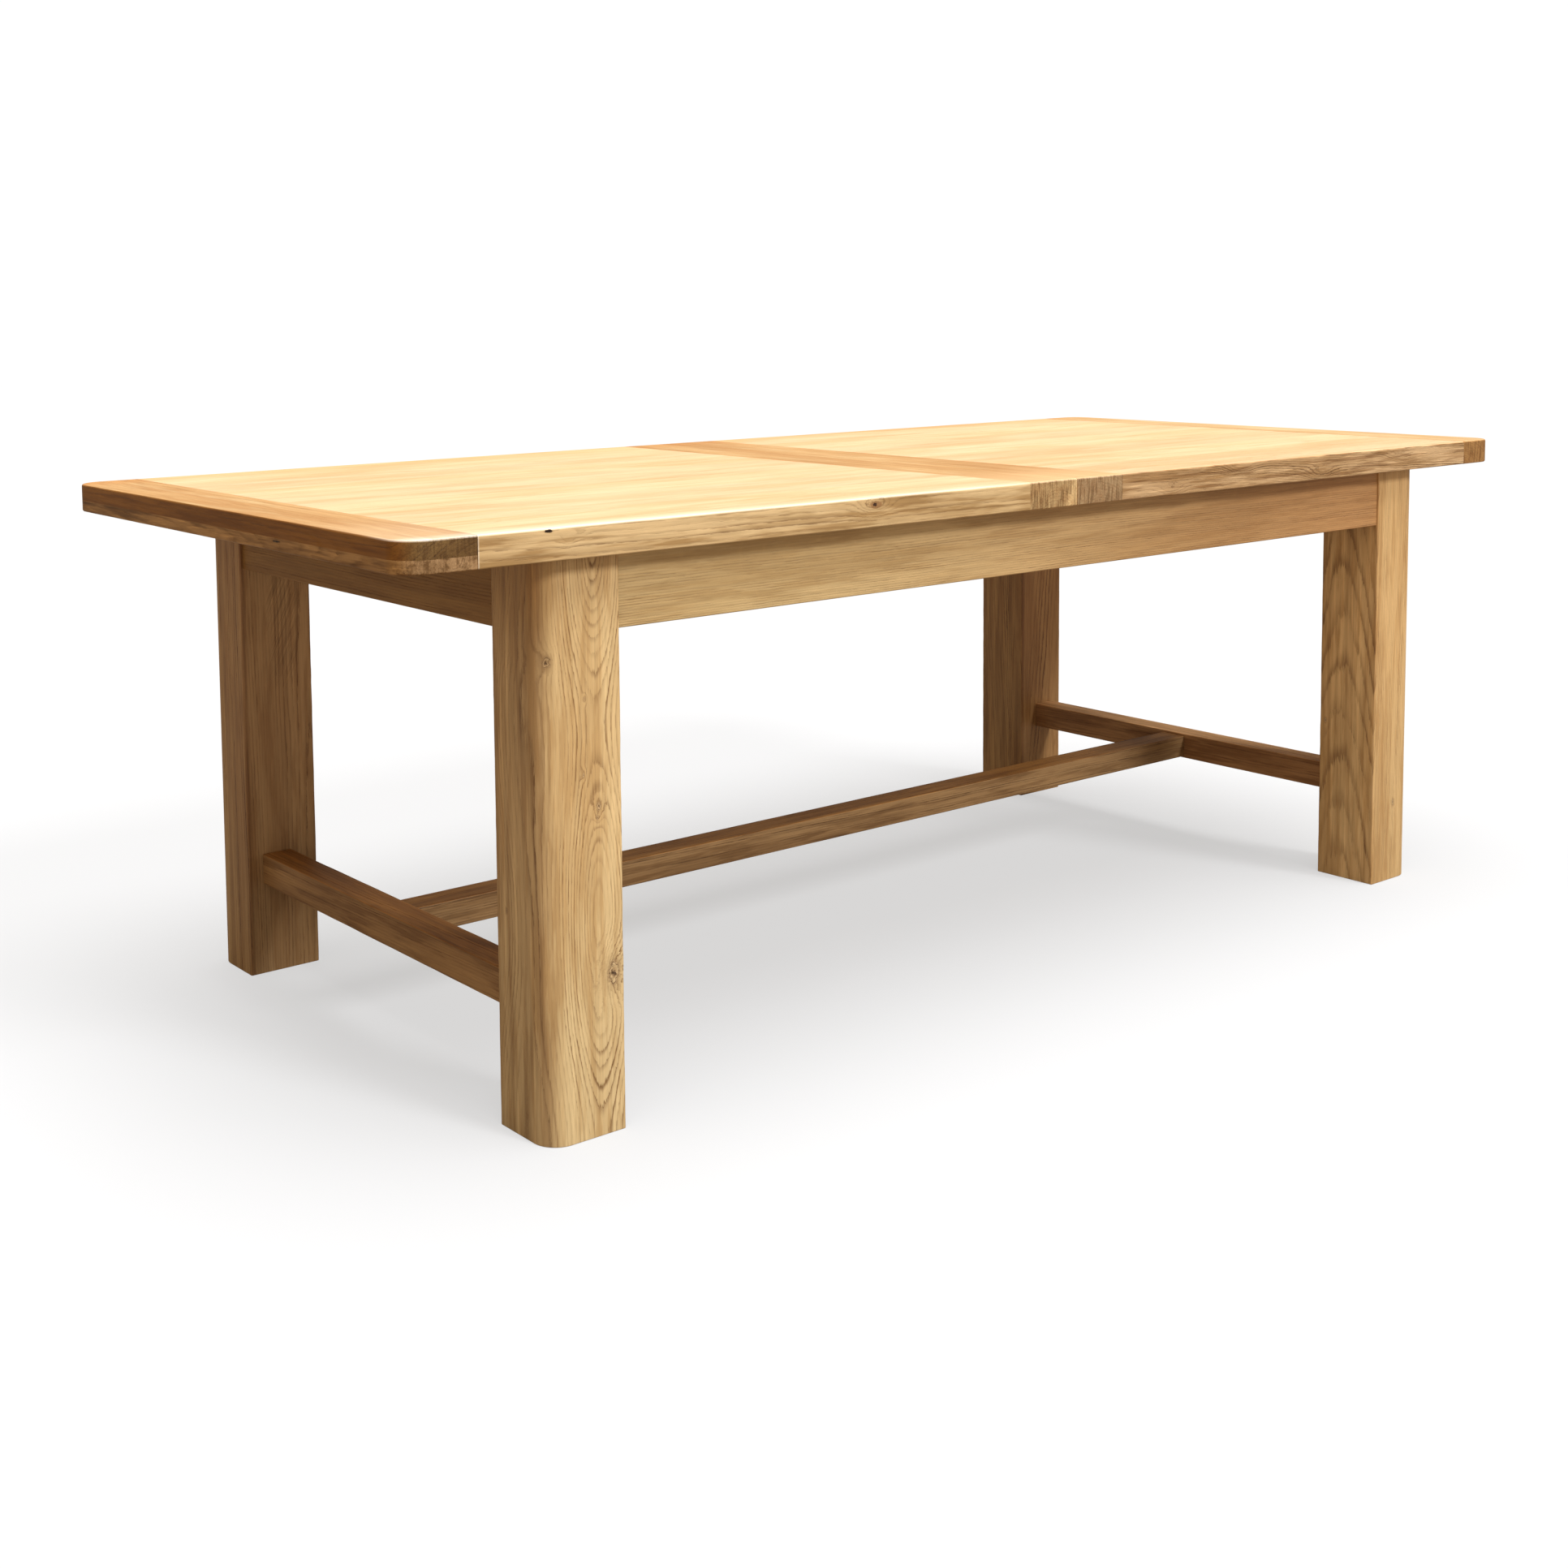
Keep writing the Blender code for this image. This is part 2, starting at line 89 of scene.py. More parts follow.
# ------------------------ node trees
class Tree:
    """Short calls for wiring one node tree. Inputs may be sockets or plain values."""

    def __init__(self, tree):
        self.tree = tree

    def add(self, kind, **settings):
        node = self.tree.nodes.new(kind)
        for name, value in settings.items():
            setattr(node, name, value)
        return node

    def feed(self, socket, value):
        if isinstance(value, bpy.types.NodeSocket):
            self.tree.links.new(value, socket)
        else:
            socket.default_value = value

    def math(self, operation, *values, clamp=False):
        node = self.add("ShaderNodeMath", operation=operation, use_clamp=clamp)
        for socket, value in zip(node.inputs, values):
            self.feed(socket, value)
        return node.outputs[0]

    def vector(self, operation, *values):
        node = self.add("ShaderNodeVectorMath", operation=operation)
        for socket, value in zip(node.inputs, values):
            self.feed(socket, value)
        return node.outputs["Value" if operation in ("LENGTH", "DOT_PRODUCT") else "Vector"]

    def scaled(self, vector, amount):
        node = self.add("ShaderNodeVectorMath", operation="SCALE")
        self.feed(node.inputs[0], vector)
        self.feed(node.inputs["Scale"], amount)
        return node.outputs["Vector"]

    def split(self, vector):
        node = self.add("ShaderNodeSeparateXYZ")
        self.feed(node.inputs[0], vector)
        return node.outputs

    def join(self, x, y, z):
        node = self.add("ShaderNodeCombineXYZ")
        for socket, value in zip(node.inputs, (x, y, z)):
            self.feed(socket, value)
        return node.outputs[0]

    def noise(self, vector, stretch, detail=2.0, roughness=0.5):
        """A noise node whose cells are 1 / stretch metres along each axis."""
        node = self.add("ShaderNodeTexNoise")
        self.feed(node.inputs["Vector"], self.vector("MULTIPLY", vector, stretch))
        node.inputs["Scale"].default_value = 1.0
        node.inputs["Detail"].default_value = detail
        node.inputs["Roughness"].default_value = roughness
        return node.outputs

    def step(self, value, low, high, to_low=0.0, to_high=1.0):
        """A smooth step from to_low at low to to_high at high."""
        node = self.add("ShaderNodeMapRange", interpolation_type="SMOOTHSTEP")
        for name, item in (
            ("Value", value),
            ("From Min", low),
            ("From Max", high),
            ("To Min", to_low),
            ("To Max", to_high),
        ):
            self.feed(node.inputs[name], item)
        return node.outputs["Result"]

    def mix(self, share, first, second, blend="MIX"):
        node = self.add("ShaderNodeMix", data_type="RGBA", blend_type=blend)
        self.feed(node.inputs["Factor"], share)
        colours = [s for s in node.inputs if s.type == "RGBA"]
        for socket, value in zip(colours, (first, second)):
            self.feed(socket, value)
        return next(s for s in node.outputs if s.type == "RGBA")

    def ramp(self, value, stops):
        node = self.add("ShaderNodeValToRGB")
        self.feed(node.inputs["Fac"], value)
        elements = node.color_ramp.elements
        while len(elements) < len(stops):
            elements.new(0.5)
        for element, (position, colour) in zip(elements, stops):
            element.position = position
            element.color = (*colour, 1.0)
        return node.outputs["Color"]

    def weighed(self, start, *parts):
        """start, plus value times weight for each (value, weight) of parts."""
        for value, weight in parts:
            start = self.math("MULTIPLY_ADD", value, weight, start)
        return start

    def place(self):
        """Where the shaded point lies in its object's own space."""
        return self.add("ShaderNodeTexCoord").outputs["Object"]

    def normal(self):
        """The three parts of the surface normal, in the object's own space."""
        return self.split(self.add("ShaderNodeTexCoord").outputs["Normal"])

    def arris(self):
        """1 on the worn arrises, which loft marks, and 0 elsewhere."""
        return self.add("ShaderNodeAttribute", attribute_name="arris").outputs["Fac"]

    def group(self, tree, **values):
        node = self.add("ShaderNodeGroup", node_tree=tree)
        for name, value in values.items():
            self.feed(node.inputs[name.replace("_", " ")], value)
        return node.outputs


def new_material(name):
    """A material, the tree that wires it and its shader."""
    material = bpy.data.materials.new(name)
    material.use_nodes = True
    return material, Tree(material.node_tree), material.node_tree.nodes["Principled BSDF"]


def new_group(name, inputs, outputs):
    """An empty node group. inputs and outputs map a kind of socket to its labels."""
    tree = bpy.data.node_groups.new(name, "ShaderNodeTree")
    for direction, sockets in (("INPUT", inputs), ("OUTPUT", outputs)):
        for kind, labels in sockets.items():
            for label in labels:
                tree.interface.new_socket(
                    name=label, in_out=direction, socket_type=f"NodeSocket{kind}"
                )
    build = Tree(tree)
    entry = build.add("NodeGroupInput").outputs
    result = build.add("NodeGroupOutput").inputs
    return build, entry, result


NO_KNOT = 9.0  # a distance from the nearest knot, in its radii, at which nothing of it shows


@functools.cache
def knot_group():
    """How one knot bends the growth rings round it, and where its own wood lies."""
    build, entry, result = new_group(
        "knot",
        {"Vector": ("Position", "Centre", "Flatten"), "Float": ("Radius", "Lift", "Heart")},
        {"Float": ("Bulge", "Core", "Rings")},
    )
    ragged = build.noise(entry["Position"], (150.0, 150.0, 150.0), 3.0, 0.6)["Color"]
    warp = build.vector("SUBTRACT", ragged, (0.5, 0.5, 0.5))
    away = build.vector("SUBTRACT", entry["Position"], entry["Centre"])
    warp = build.scaled(warp, build.math("MULTIPLY", entry["Radius"], 1.7))
    away = build.vector("ADD", away, warp)
    distance = build.vector("LENGTH", build.vector("MULTIPLY", away, entry["Flatten"]))
    share = build.math("DIVIDE", distance, entry["Radius"])
    near = build.math("MULTIPLY", share, 0.42)
    squared = build.math("MULTIPLY", near, near)
    fall = build.math("EXPONENT", build.math("MULTIPLY", squared, -1.0))
    build.feed(result["Bulge"], build.math("MULTIPLY", fall, entry["Lift"]))
    core = build.step(share, 0.80, 1.10, 1.0, 0.0)
    build.feed(result["Core"], build.math("MULTIPLY", core, entry["Heart"]))
    # Where a knot has no heart of its own, only the grain turns round it.
    absent = build.step(entry["Heart"], 0.0, 0.2, NO_KNOT, 0.0)
    build.feed(result["Rings"], build.math("ADD", share, absent))
    return build.tree


@functools.cache
def oak_group():
    """Oak about a pith line: growth rings, fibres, pores, ray flecks, tone drift and end grain.

    Position has its x along the grain. Its y and z lie across it.
    """
    build, entry, result = new_group(
        "oak",
        {
            "Vector": ("Position",),
            "Float": (
                *("Seed", "Pith Y", "Pith Z", "Tilt Y", "Tilt Z", "Spacing", "Wave"),
                *("Sway", "Sway Rate", "Sway Phase"),
                *("Bulge", "Core", "Rings", "End", "Arris", "Contrast"),
            ),
            "Color": ("Pale", "Deep", "Line", "End Tint"),
        },
        {"Color": ("Color",), "Float": ("Roughness", "Height")},
    )
    position, seed = entry["Position"], entry["Seed"]
    half = (0.5, 0.5, 0.5)
    shift = build.scaled((1.71, 3.13, 5.37), seed)
    place = build.vector("ADD", position, shift)
    along, across, depth = build.split(position)

    # Distance from the pith, which wanders along the grain.
    slow = build.noise(place, (1.4, 6.0, 6.0))["Color"]
    slow = build.scaled(build.vector("SUBTRACT", slow, half), entry["Wave"])
    quick = build.noise(place, (9.0, 42.0, 42.0))["Color"]
    reach = build.math("MULTIPLY", entry["Wave"], 0.13)
    quick = build.scaled(build.vector("SUBTRACT", quick, half), reach)
    drift = build.split(build.vector("ADD", slow, quick))
    sway = build.math("MULTIPLY_ADD", along, entry["Sway Rate"], entry["Sway Phase"])
    sway = build.math("MULTIPLY", build.math("SINE", sway), entry["Sway"])

    def offset(value, pith, tilt, wander):
        value = build.math("SUBTRACT", value, entry[pith])
        value = build.math("MULTIPLY_ADD", along, entry[tilt], value)
        return build.math("ADD", value, wander)

    side = offset(across, "Pith Y", "Tilt Y", drift[0])
    rise = offset(depth, "Pith Z", "Tilt Z", build.math("ADD", drift[1], sway))
    radius = build.vector("LENGTH", build.join(side, rise, 0.0))

    # Fibres and the dashes of open pores, which also fray the rings where these cross the grain.
    fibre = build.noise(place, (11.0, 300.0, 300.0), 3.0, 0.62)["Fac"]
    dash = build.noise(place, (48.0, 900.0, 900.0), 2.0, 0.6)["Fac"]
    uneven = build.noise(place, (0.8, 16.0, 16.0), 1.0)["Fac"]
    year = build.math("DIVIDE", build.math("ADD", radius, entry["Bulge"]), entry["Spacing"])
    year = build.weighed(
        year,
        (uneven, 3.2),
        (build.math("SUBTRACT", dash, 0.5), 0.55),
        (build.math("SUBTRACT", fibre, 0.5), 0.35),
    )
    ring = build.math("FRACT", year)
    which = build.add("ShaderNodeTexWhiteNoise", noise_dimensions="1D")
    build.feed(which.inputs["W"], build.math("ADD", build.math("FLOOR", year), seed))
    strength = build.math("POWER", which.outputs["Value"], 2.2)
    early = build.step(ring, 0.02, 0.42, 1.0, 0.0)
    early = build.math("MAXIMUM", early, build.step(ring, 0.88, 1.0))
    early = build.math("MULTIPLY", early, build.math("MULTIPLY_ADD", strength, 0.90, 0.26))
    decade = build.join(build.math("MULTIPLY", radius, 70.0), seed, 0.0)
    broad = build.noise(decade, (1.0, 1.0, 1.0), 1.0)["Fac"]
    early = build.math("MULTIPLY", early, build.step(broad, 0.28, 0.68, 0.45, 1.15))
    faint = build.noise(place, (6.0, 38.0, 38.0))["Fac"]
    early = build.math("MULTIPLY", early, build.step(faint, 0.34, 0.62, 0.50, 1.30))
    broken = build.step(dash, 0.25, 0.70, 0.55, 1.25)
    line = build.math("MULTIPLY", early, broken, clamp=True)
    pores = build.math("MULTIPLY_ADD", early, 0.75, 0.25)
    pores = build.math("MULTIPLY", build.step(dash, 0.54, 0.70), pores)
    tone = build.noise(place, (2.0, 16.0, 16.0), 3.0, 0.6)["Fac"]
    turn = build.math("ARCTAN2", rise, side)
    rays = build.noise(build.join(turn, radius, along), (130.0, 60.0, 80.0), 1.0)["Fac"]
    rays = build.step(rays, 0.60, 0.78)

    streak = build.noise(place, (7.0, 95.0, 95.0), 3.0, 0.66)["Fac"]
    tone = build.step(tone, 0.38, 0.64, -0.1, 0.7)
    tone = build.math("MULTIPLY_ADD", build.step(streak, 0.44, 0.66), 0.75, tone)
    colour = build.mix(build.math("ADD", tone, 0.0, clamp=True), entry["Pale"], entry["Deep"])
    colour = build.mix(build.math("MULTIPLY", line, entry["Contrast"]), colour, entry["Line"])
    end, arris = entry["End"], entry["Arris"]
    # The arrises are painted lighter: partly wear, partly a painted highlight.
    lightness = build.weighed(0.74, (fibre, 0.52), (pores, -0.16), (rays, 0.05), (arris, 0.08))
    grey = build.join(lightness, lightness, lightness)
    colour = build.mix(1.0, colour, grey, "MULTIPLY")
    ends = build.mix(1.0, colour, entry["End Tint"], "MULTIPLY")
    speckle = build.step(dash, 0.3, 0.7, 1.12, 0.80)
    ends = build.mix(1.0, ends, build.join(speckle, speckle, speckle), "MULTIPLY")
    colour = build.mix(end, colour, ends)

    # Knots: a dark edge, paler rings within and a dark heart.
    knot = build.ramp(
        build.math("MULTIPLY", entry["Rings"], 0.8),
        [
            (0.0, (0.050, 0.026, 0.012)),
            (0.16, (0.100, 0.052, 0.022)),
            (0.30, (0.46, 0.30, 0.145)),
            (0.46, (0.58, 0.41, 0.21)),
            (0.56, (0.130, 0.068, 0.028)),
            (0.66, (0.50, 0.33, 0.16)),
            (0.80, (0.150, 0.078, 0.032)),
        ],
    )
    knot = build.mix(1.0, knot, grey, "MULTIPLY")
    colour = build.mix(entry["Core"], colour, knot)
    halo = build.step(entry["Rings"], 1.0, 2.0, 0.30, 0.0)
    halo = build.math("MULTIPLY", halo, build.math("SUBTRACT", 1.0, entry["Core"]))
    colour = build.mix(halo, colour, entry["Line"])
    build.feed(result["Color"], colour)

    rough = build.weighed(0.44, (line, 0.12), (pores, 0.10), (end, 0.12), (arris, -0.08))
    build.feed(result["Roughness"], rough)
    build.feed(result["Height"], build.weighed(1.0, (line, -0.55), (pores, -0.45), (fibre, 0.25)))
    return build.tree


# ------------------------ wood looks
GRAIN_ORDER = {"X": (0, 1, 2), "Y": (1, 0, 2), "Z": (2, 0, 1)}
# Pale wood, deeper streaks, and the lines of the growth rings.
LOOKS = {
    "top": ((0.675, 0.468, 0.262), (0.64, 0.398, 0.206), (0.50, 0.270, 0.125), 0.36),
    "edge": ((0.70, 0.500, 0.255), (0.40, 0.245, 0.098), (0.20, 0.105, 0.036), 0.75),
    "cross": ((0.48, 0.288, 0.122), (0.402, 0.215, 0.083), (0.305, 0.156, 0.058), 0.50),
    "frame": ((0.66, 0.475, 0.238), (0.49, 0.312, 0.133), (0.22, 0.112, 0.036), 0.95),
    "apron": ((0.60, 0.407, 0.190), (0.47, 0.295, 0.123), (0.26, 0.142, 0.050), 0.65),
    "stretcher": ((0.36, 0.208, 0.090), (0.200, 0.103, 0.040), (0.11, 0.052, 0.020), 0.85),
    "umber": ((0.215, 0.084, 0.012), (0.135, 0.047, 0.006), (0.080, 0.027, 0.004), 0.60),
    "drab": ((0.330, 0.172, 0.058), (0.138, 0.061, 0.015), (0.080, 0.034, 0.009), 0.60),
    "beech": ((0.60, 0.42, 0.26), (0.54, 0.36, 0.21), (0.47, 0.30, 0.17), 0.50),
}
PLAIN = (1.0, 1.0, 1.0)
NO_SWAY = (0.0, 0.0, 0.0)


def wood_colour(
    build,
    look,
    grain,
    cut,
    knots=(),
    tint=PLAIN,
    sway=NO_SWAY,
    end_tint=(0.55, 0.50, 0.46),
    up_look=None,
    up_tint=PLAIN,
):
    """The outputs of one oak group. cut = (seed, pith y, pith z, tilt y, tilt z, spacing, wave).

    Faces that look up can take a look of their own.
    """
    place, normal, order = build.place(), build.normal(), GRAIN_ORDER[grain]
    axes = build.split(place)
    position = build.join(*(axes[i] for i in order))
    end = build.step(build.math("ABSOLUTE", normal[order[0]]), 0.45, 0.95)
    bulge, core, rings = 0.0, 0.0, NO_KNOT
    for centre, flatten, radius, lift, heart in knots:
        found = build.group(
            knot_group(),
            Position=place,
            Centre=centre,
            Flatten=flatten,
            Radius=radius,
            Lift=lift,
            Heart=heart,
        )
        bulge = build.math("ADD", bulge, found["Bulge"])
        core = build.math("MAXIMUM", core, found["Core"])
        rings = build.math("MINIMUM", rings, found["Rings"])

    def tones(name, factors):
        *parts, contrast = LOOKS[name]
        return [(*(a * b for a, b in zip(part, factors)), 1.0) for part in parts], contrast

    colours, contrast = tones(look, tint)
    if up_look:
        up = build.step(normal[2], 0.60, 0.95)
        up_colours, up_contrast = tones(up_look, up_tint)
        colours = [build.mix(up, a, b) for a, b in zip(colours, up_colours)]
        contrast = build.math("MULTIPLY_ADD", up, up_contrast - contrast, contrast)
    names = ("Seed", "Pith_Y", "Pith_Z", "Tilt_Y", "Tilt_Z", "Spacing", "Wave")
    return build.group(
        oak_group(),
        Position=position,
        **dict(zip(names, cut)),
        **dict(zip(("Sway", "Sway_Rate", "Sway_Phase"), sway)),
        Bulge=bulge,
        Core=core,
        Rings=rings,
        End=end,
        Arris=build.arris(),
        Contrast=contrast,
        End_Tint=(*end_tint, 1.0),
        **dict(zip(("Pale", "Deep", "Line"), colours)),
    )


BUMP_DEPTH, BUMP_STRENGTH = 0.0007, 0.55
SHINE, DULL = 0.5, 0.25


def wood_material(name, layers, finishes=(), depth=BUMP_DEPTH, shine=SHINE):
    """A wood material. layers is a list of (wood_colour settings, mask maker or None).

    finishes is a list of (mask maker, colour, blend mode) laid over the layers. The roughness
    is that of the first layer.
    """
    material, build, shader = new_material(name)
    colour = rough = height = None
    for settings, mask in layers:
        found = wood_colour(build, **settings)
        if mask is None:
            colour, rough, height = found["Color"], found["Roughness"], found["Height"]
            continue
        share = mask(build)
        colour = build.mix(share, colour, found["Color"])
        change = build.math("SUBTRACT", found["Height"], height)
        height = build.math("MULTIPLY_ADD", change, share, height)
    for mask, tint, blend in finishes:
        colour = build.mix(mask(build), colour, (*tint, 1.0), blend)
    bump = build.add("ShaderNodeBump")
    bump.inputs["Strength"].default_value = BUMP_STRENGTH
    bump.inputs["Distance"].default_value = depth
    shader.inputs["Specular IOR Level"].default_value = shine
    build.feed(bump.inputs["Height"], height)
    build.feed(shader.inputs["Base Color"], colour)
    build.feed(shader.inputs["Roughness"], rough)
    build.feed(shader.inputs["Normal"], bump.outputs["Normal"])
    return material


def facing(axis, low=0.3, high=0.9, sign=0):
    """A mask of the faces that look along an axis, both ways when sign is 0."""

    def mask(build):
        normal = build.normal()[axis]
        way = build.math("MULTIPLY", normal, sign) if sign else build.math("ABSOLUTE", normal)
        return build.step(way, low, high)

    return mask


def between(axis, low, high, power=1.0):
    """A mask that rises smoothly from low to high along an axis, up to power."""

    def mask(build):
        return build.step(build.split(build.place())[axis], low, high, 0.0, power)

    return mask


def both(*masks):
    """A mask of where all the masks hold."""

    def mask(build):
        share = 1.0
        for part in masks:
            share = build.math("MULTIPLY", share, part(build))
        return share

    return mask


def rim(power):
    """A mask of the worn arrises, for the painted highlight along them."""

    def mask(build):
        return build.math("MULTIPLY", build.arris(), power)

    return mask


def spot(centre, flatten, radius):
    """A mask of one ragged spot."""

    def mask(build):
        place = build.place()
        away = build.vector("MULTIPLY", build.vector("SUBTRACT", place, centre), flatten)
        share = build.math("DIVIDE", build.vector("LENGTH", away), radius)
        ragged = build.noise(place, (420.0, 420.0, 420.0))["Fac"]
        return build.step(build.math("ADD", share, ragged), 1.25, 1.55, 1.0, 0.0)

    return mask


def mottled(stretch, low, high, power):
    """A mask of soft patches."""

    def mask(build):
        return build.step(build.noise(build.place(), stretch)["Fac"], low, high, 0.0, power)

    return mask


def hatched(lean, stretch, low, high, power):
    """A mask of fine strokes on an upright, leaning by lean in x for each unit of z."""

    def mask(build):
        x, y, z = build.split(build.place())
        place = build.join(build.math("MULTIPLY_ADD", z, -lean, x), y, z)
        return build.step(build.noise(place, stretch)["Fac"], low, high, 0.0, power)

    return mask


def shade(colour, *masks):
    """A finish that multiplies by a colour where every mask holds."""
    return both(*masks), colour, "MULTIPLY"


def paint(colour, *masks):
    """A finish that lays a colour on where every mask holds."""
    return both(*masks), colour, "MIX"


FLANK = facing(0)
UPPER = facing(2, sign=1)
LEG_FRONT = facing(1, sign=-1)
TOP_FRONT = facing(1, 0.5, 0.9, -1)
TOP_ENDS = facing(1, 0.5, 0.9)


# ------------------------ board meshes
EASE_STEPS, CORNER_STEPS = 5, 26
BROAD = 0.01  # a radius above this is a rounded corner, and below it an eased arris
TINY = 1e-6
SHARP = 42  # degrees
# Depths of the hand finish, the wear along an arris and the deepest knot.
HAND_FINISH, WEAR, KNOT_SINK = 0.00009, 0.00045, 0.0014
FINISH_RATE, WEAR_RATE, KNOT_RATE = 21.0, 47.0, 330.0  # noise cells in a metre
EASE_ROOM, CORNER_ROOM = 0.0006, 0.001  # from a rounding to the first break beside it
GLUE_LAP = 0.00015
KNOT_REACH, FINE = 0.016, 0.0016  # how far round a knot the mesh is finer, and its step there
# Where each loop axis of an extrusion lies: loop u, loop v, then the extrusion itself.
LOFT_AXES = {"X": (1, 2, 0), "Y": (2, 0, 1), "Z": (0, 1, 2)}


def breaks(low, high, step, near=()):
    """Evenly spread values strictly between low and high, closer together about each near."""
    count = max(1, round((high - low) / step))
    values = {low + (high - low) * i / count for i in range(1, count)}
    for centre in near:
        reach = int(KNOT_REACH / FINE)
        values |= {centre + FINE * i for i in range(-reach, reach + 1)}
    kept = []
    for value in sorted(values):
        if low + FINE / 2 < value < high - FINE / 2:
            if not kept or value - kept[-1] > FINE * 0.6:
                kept.append(value)
    return kept


def rounded_loop(box, radii, inset, us, vs):
    """A loop of (u, v, normal u, normal v, arris). radii and corners start at (high u, low v).

    inset is taken off at low u, low v, high u and high v.
    """
    (u0, v0), (u1, v1) = box
    u0, v0, u1, v1 = u0 + inset[0], v0 + inset[1], u1 - inset[2], v1 - inset[3]
    sides = (
        ([(u, v0) for u in us], (0, -1), (u1, v0), -90),
        ([(u1, v) for v in vs], (1, 0), (u1, v1), 0),
        ([(u, v1) for u in reversed(us)], (0, 1), (u0, v1), 90),
        ([(u0, v) for v in reversed(vs)], (-1, 0), (u0, v0), 180),
    )
    inwards = ((-1, 1), (-1, -1), (1, -1), (1, 1))
    loop = []
    for index, (points, normal, corner, start) in enumerate(sides):
        loop += [(u, v, *normal, 0.0) for u, v in points]
        radius, way = radii[index], inwards[index]
        if radius <= TINY:
            loop.append((*corner, 0.0, 0.0, 0.0))
            continue
        steps = CORNER_STEPS if radius > BROAD else EASE_STEPS
        middle = (corner[0] + way[0] * radius, corner[1] + way[1] * radius)
        for i in range(steps + 1):
            angle = math.radians(start + 90 * i / steps)
            out = (math.cos(angle), math.sin(angle))
            soft = 1.0 if radius < BROAD and 0 < i < steps else 0.0
            place = (middle[0] + radius * out[0], middle[1] + radius * out[1])
            loop.append((*place, *out, soft))
    return loop


def loop_maker(box, radii, us, vs, sides=(1, 1, 1, 1)):
    """What loft calls for a loop at each inset. A side of 0 stays where it is."""
    loops = {}

    def loop_at(inset):
        if inset not in loops:
            bent = [radius - inset if radius else 0.0 for radius in radii]
            loops[inset] = rounded_loop(box, bent, [inset * side for side in sides], us, vs)
        return loops[inset]

    return loop_at


def relief(point, knots, arris):
    """How far the surface stands in from true: hand finish, worn edges and sunken knots."""
    sink = HAND_FINISH * (1 + noise.noise(Vector(point) * FINISH_RATE))
    sink += arris * WEAR * max(0.0, noise.noise(Vector(point) * WEAR_RATE) + 0.25)
    for centre, flatten, radius, _, heart in knots:
        away = Vector(point) - Vector(centre)
        share = Vector(a * b for a, b in zip(away, flatten)).length / radius
        if share < 3:
            rough = 0.5 + 1.3 * noise.noise(Vector(point) * KNOT_RATE)
            deep = min(KNOT_SINK, radius * 0.16) * math.exp(-(share**2))
            sink += heart * deep * max(0.0, rough)
    return sink


def loft(name, axis, stations, loop_at, knots=()):
    """A closed board: loop_at(inset) carried through stations of (place, inset, arris)."""
    order = LOFT_AXES[axis]
    bm = bmesh.new()
    layer = bm.verts.layers.float.new("arris")
    rows = []
    for place, inset, station_arris in stations:
        row = []
        for u, v, nu, nv, soft in loop_at(inset):
            point, out = [0.0] * 3, [0.0] * 3
            for target, value, push in zip(order, (u, v, place), (nu, nv, 0.0)):
                point[target], out[target] = value, push
            worn = max(soft, station_arris)
            flat = 1.0 if (nu or nv) else 0.0
            sink = relief(point, knots, worn) * flat
            vert = bm.verts.new([p - o * sink for p, o in zip(point, out)])
            vert[layer] = worn
            row.append(vert)
        rows.append(row)
    count = len(rows[0])
    for low, high in zip(rows, rows[1:]):
        for i in range(count):
            j = (i + 1) % count
            bm.faces.new((low[i], low[j], high[j], high[i]))
    bm.faces.new(list(reversed(rows[0])))
    bm.faces.new(rows[-1])
    bmesh.ops.remove_doubles(bm, verts=bm.verts, dist=TINY)
    bmesh.ops.recalc_face_normals(bm, faces=bm.faces)
    mesh = bpy.data.meshes.new(name)
    bm.to_mesh(mesh)
    bm.free()
    mesh.shade_smooth()
    mesh.set_sharp_from_angle(angle=math.radians(SHARP))
    obj = new_object(name, mesh)
    weighted = obj.modifiers.new("flat_faces", "WEIGHTED_NORMAL")
    weighted.keep_sharp = True
    weighted.weight = 100
    return obj


def eased_end(low, width, up):
    """Stations (place, inset, arris) that round an end over width, from the rim at low inwards."""
    found = []
    for i in range(EASE_STEPS):
        angle = math.radians(90 * i / EASE_STEPS)
        place = low + up * width * (1 - math.cos(angle))
        found.append((place, width * (1 - math.sin(angle)), 1.0 if i else 0.0))
    return found


def flat_run(low, high, step, near=()):
    """Stations from low to high with no inset."""
    return [(place, 0.0, 0.0) for place in (low, *breaks(low, high, step, near), high)]


def finish_piece(obj, node, body, material):
    obj.data.materials.append(material)
    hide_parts(node)
    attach(obj, body)


def knot_places(knots, axis):
    return [centre[axis] for centre, *_ in knots]


def straight_board(
    node, axis, body, material, radii, step, knots=(), glued=(), ends=(0, 0)
):
    """Replaces a CAD node by a finer board carried along axis. radii are the four long arrises.

    glued names the faces, as ("low" or "high", axis), that run GLUE_LAP into the next board.
    """
    low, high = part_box(node)
    low = [value - GLUE_LAP * (("low", i) in glued) for i, value in enumerate(low)]
    high = [value + GLUE_LAP * (("high", i) in glued) for i, value in enumerate(high)]
    u, v, w = LOFT_AXES[axis]
    box = ((low[u], low[v]), (high[u], high[v]))
    edge = max(radii) + EASE_ROOM
    us = breaks(low[u] + edge, high[u] - edge, step, knot_places(knots, u))
    vs = breaks(low[v] + edge, high[v] - edge, step, knot_places(knots, v))
    start = eased_end(low[w], ends[0], 1) if ends[0] else []
    stop = eased_end(high[w], ends[1], -1) if ends[1] else []
    middle = flat_run(low[w] + ends[0], high[w] - ends[1], step * 1.6, knot_places(knots, w))
    stations = start + middle + stop[::-1]
    obj = loft(f"fine_{node}", axis, stations, loop_maker(box, radii, us, vs), knots)
    finish_piece(obj, node, body, material)


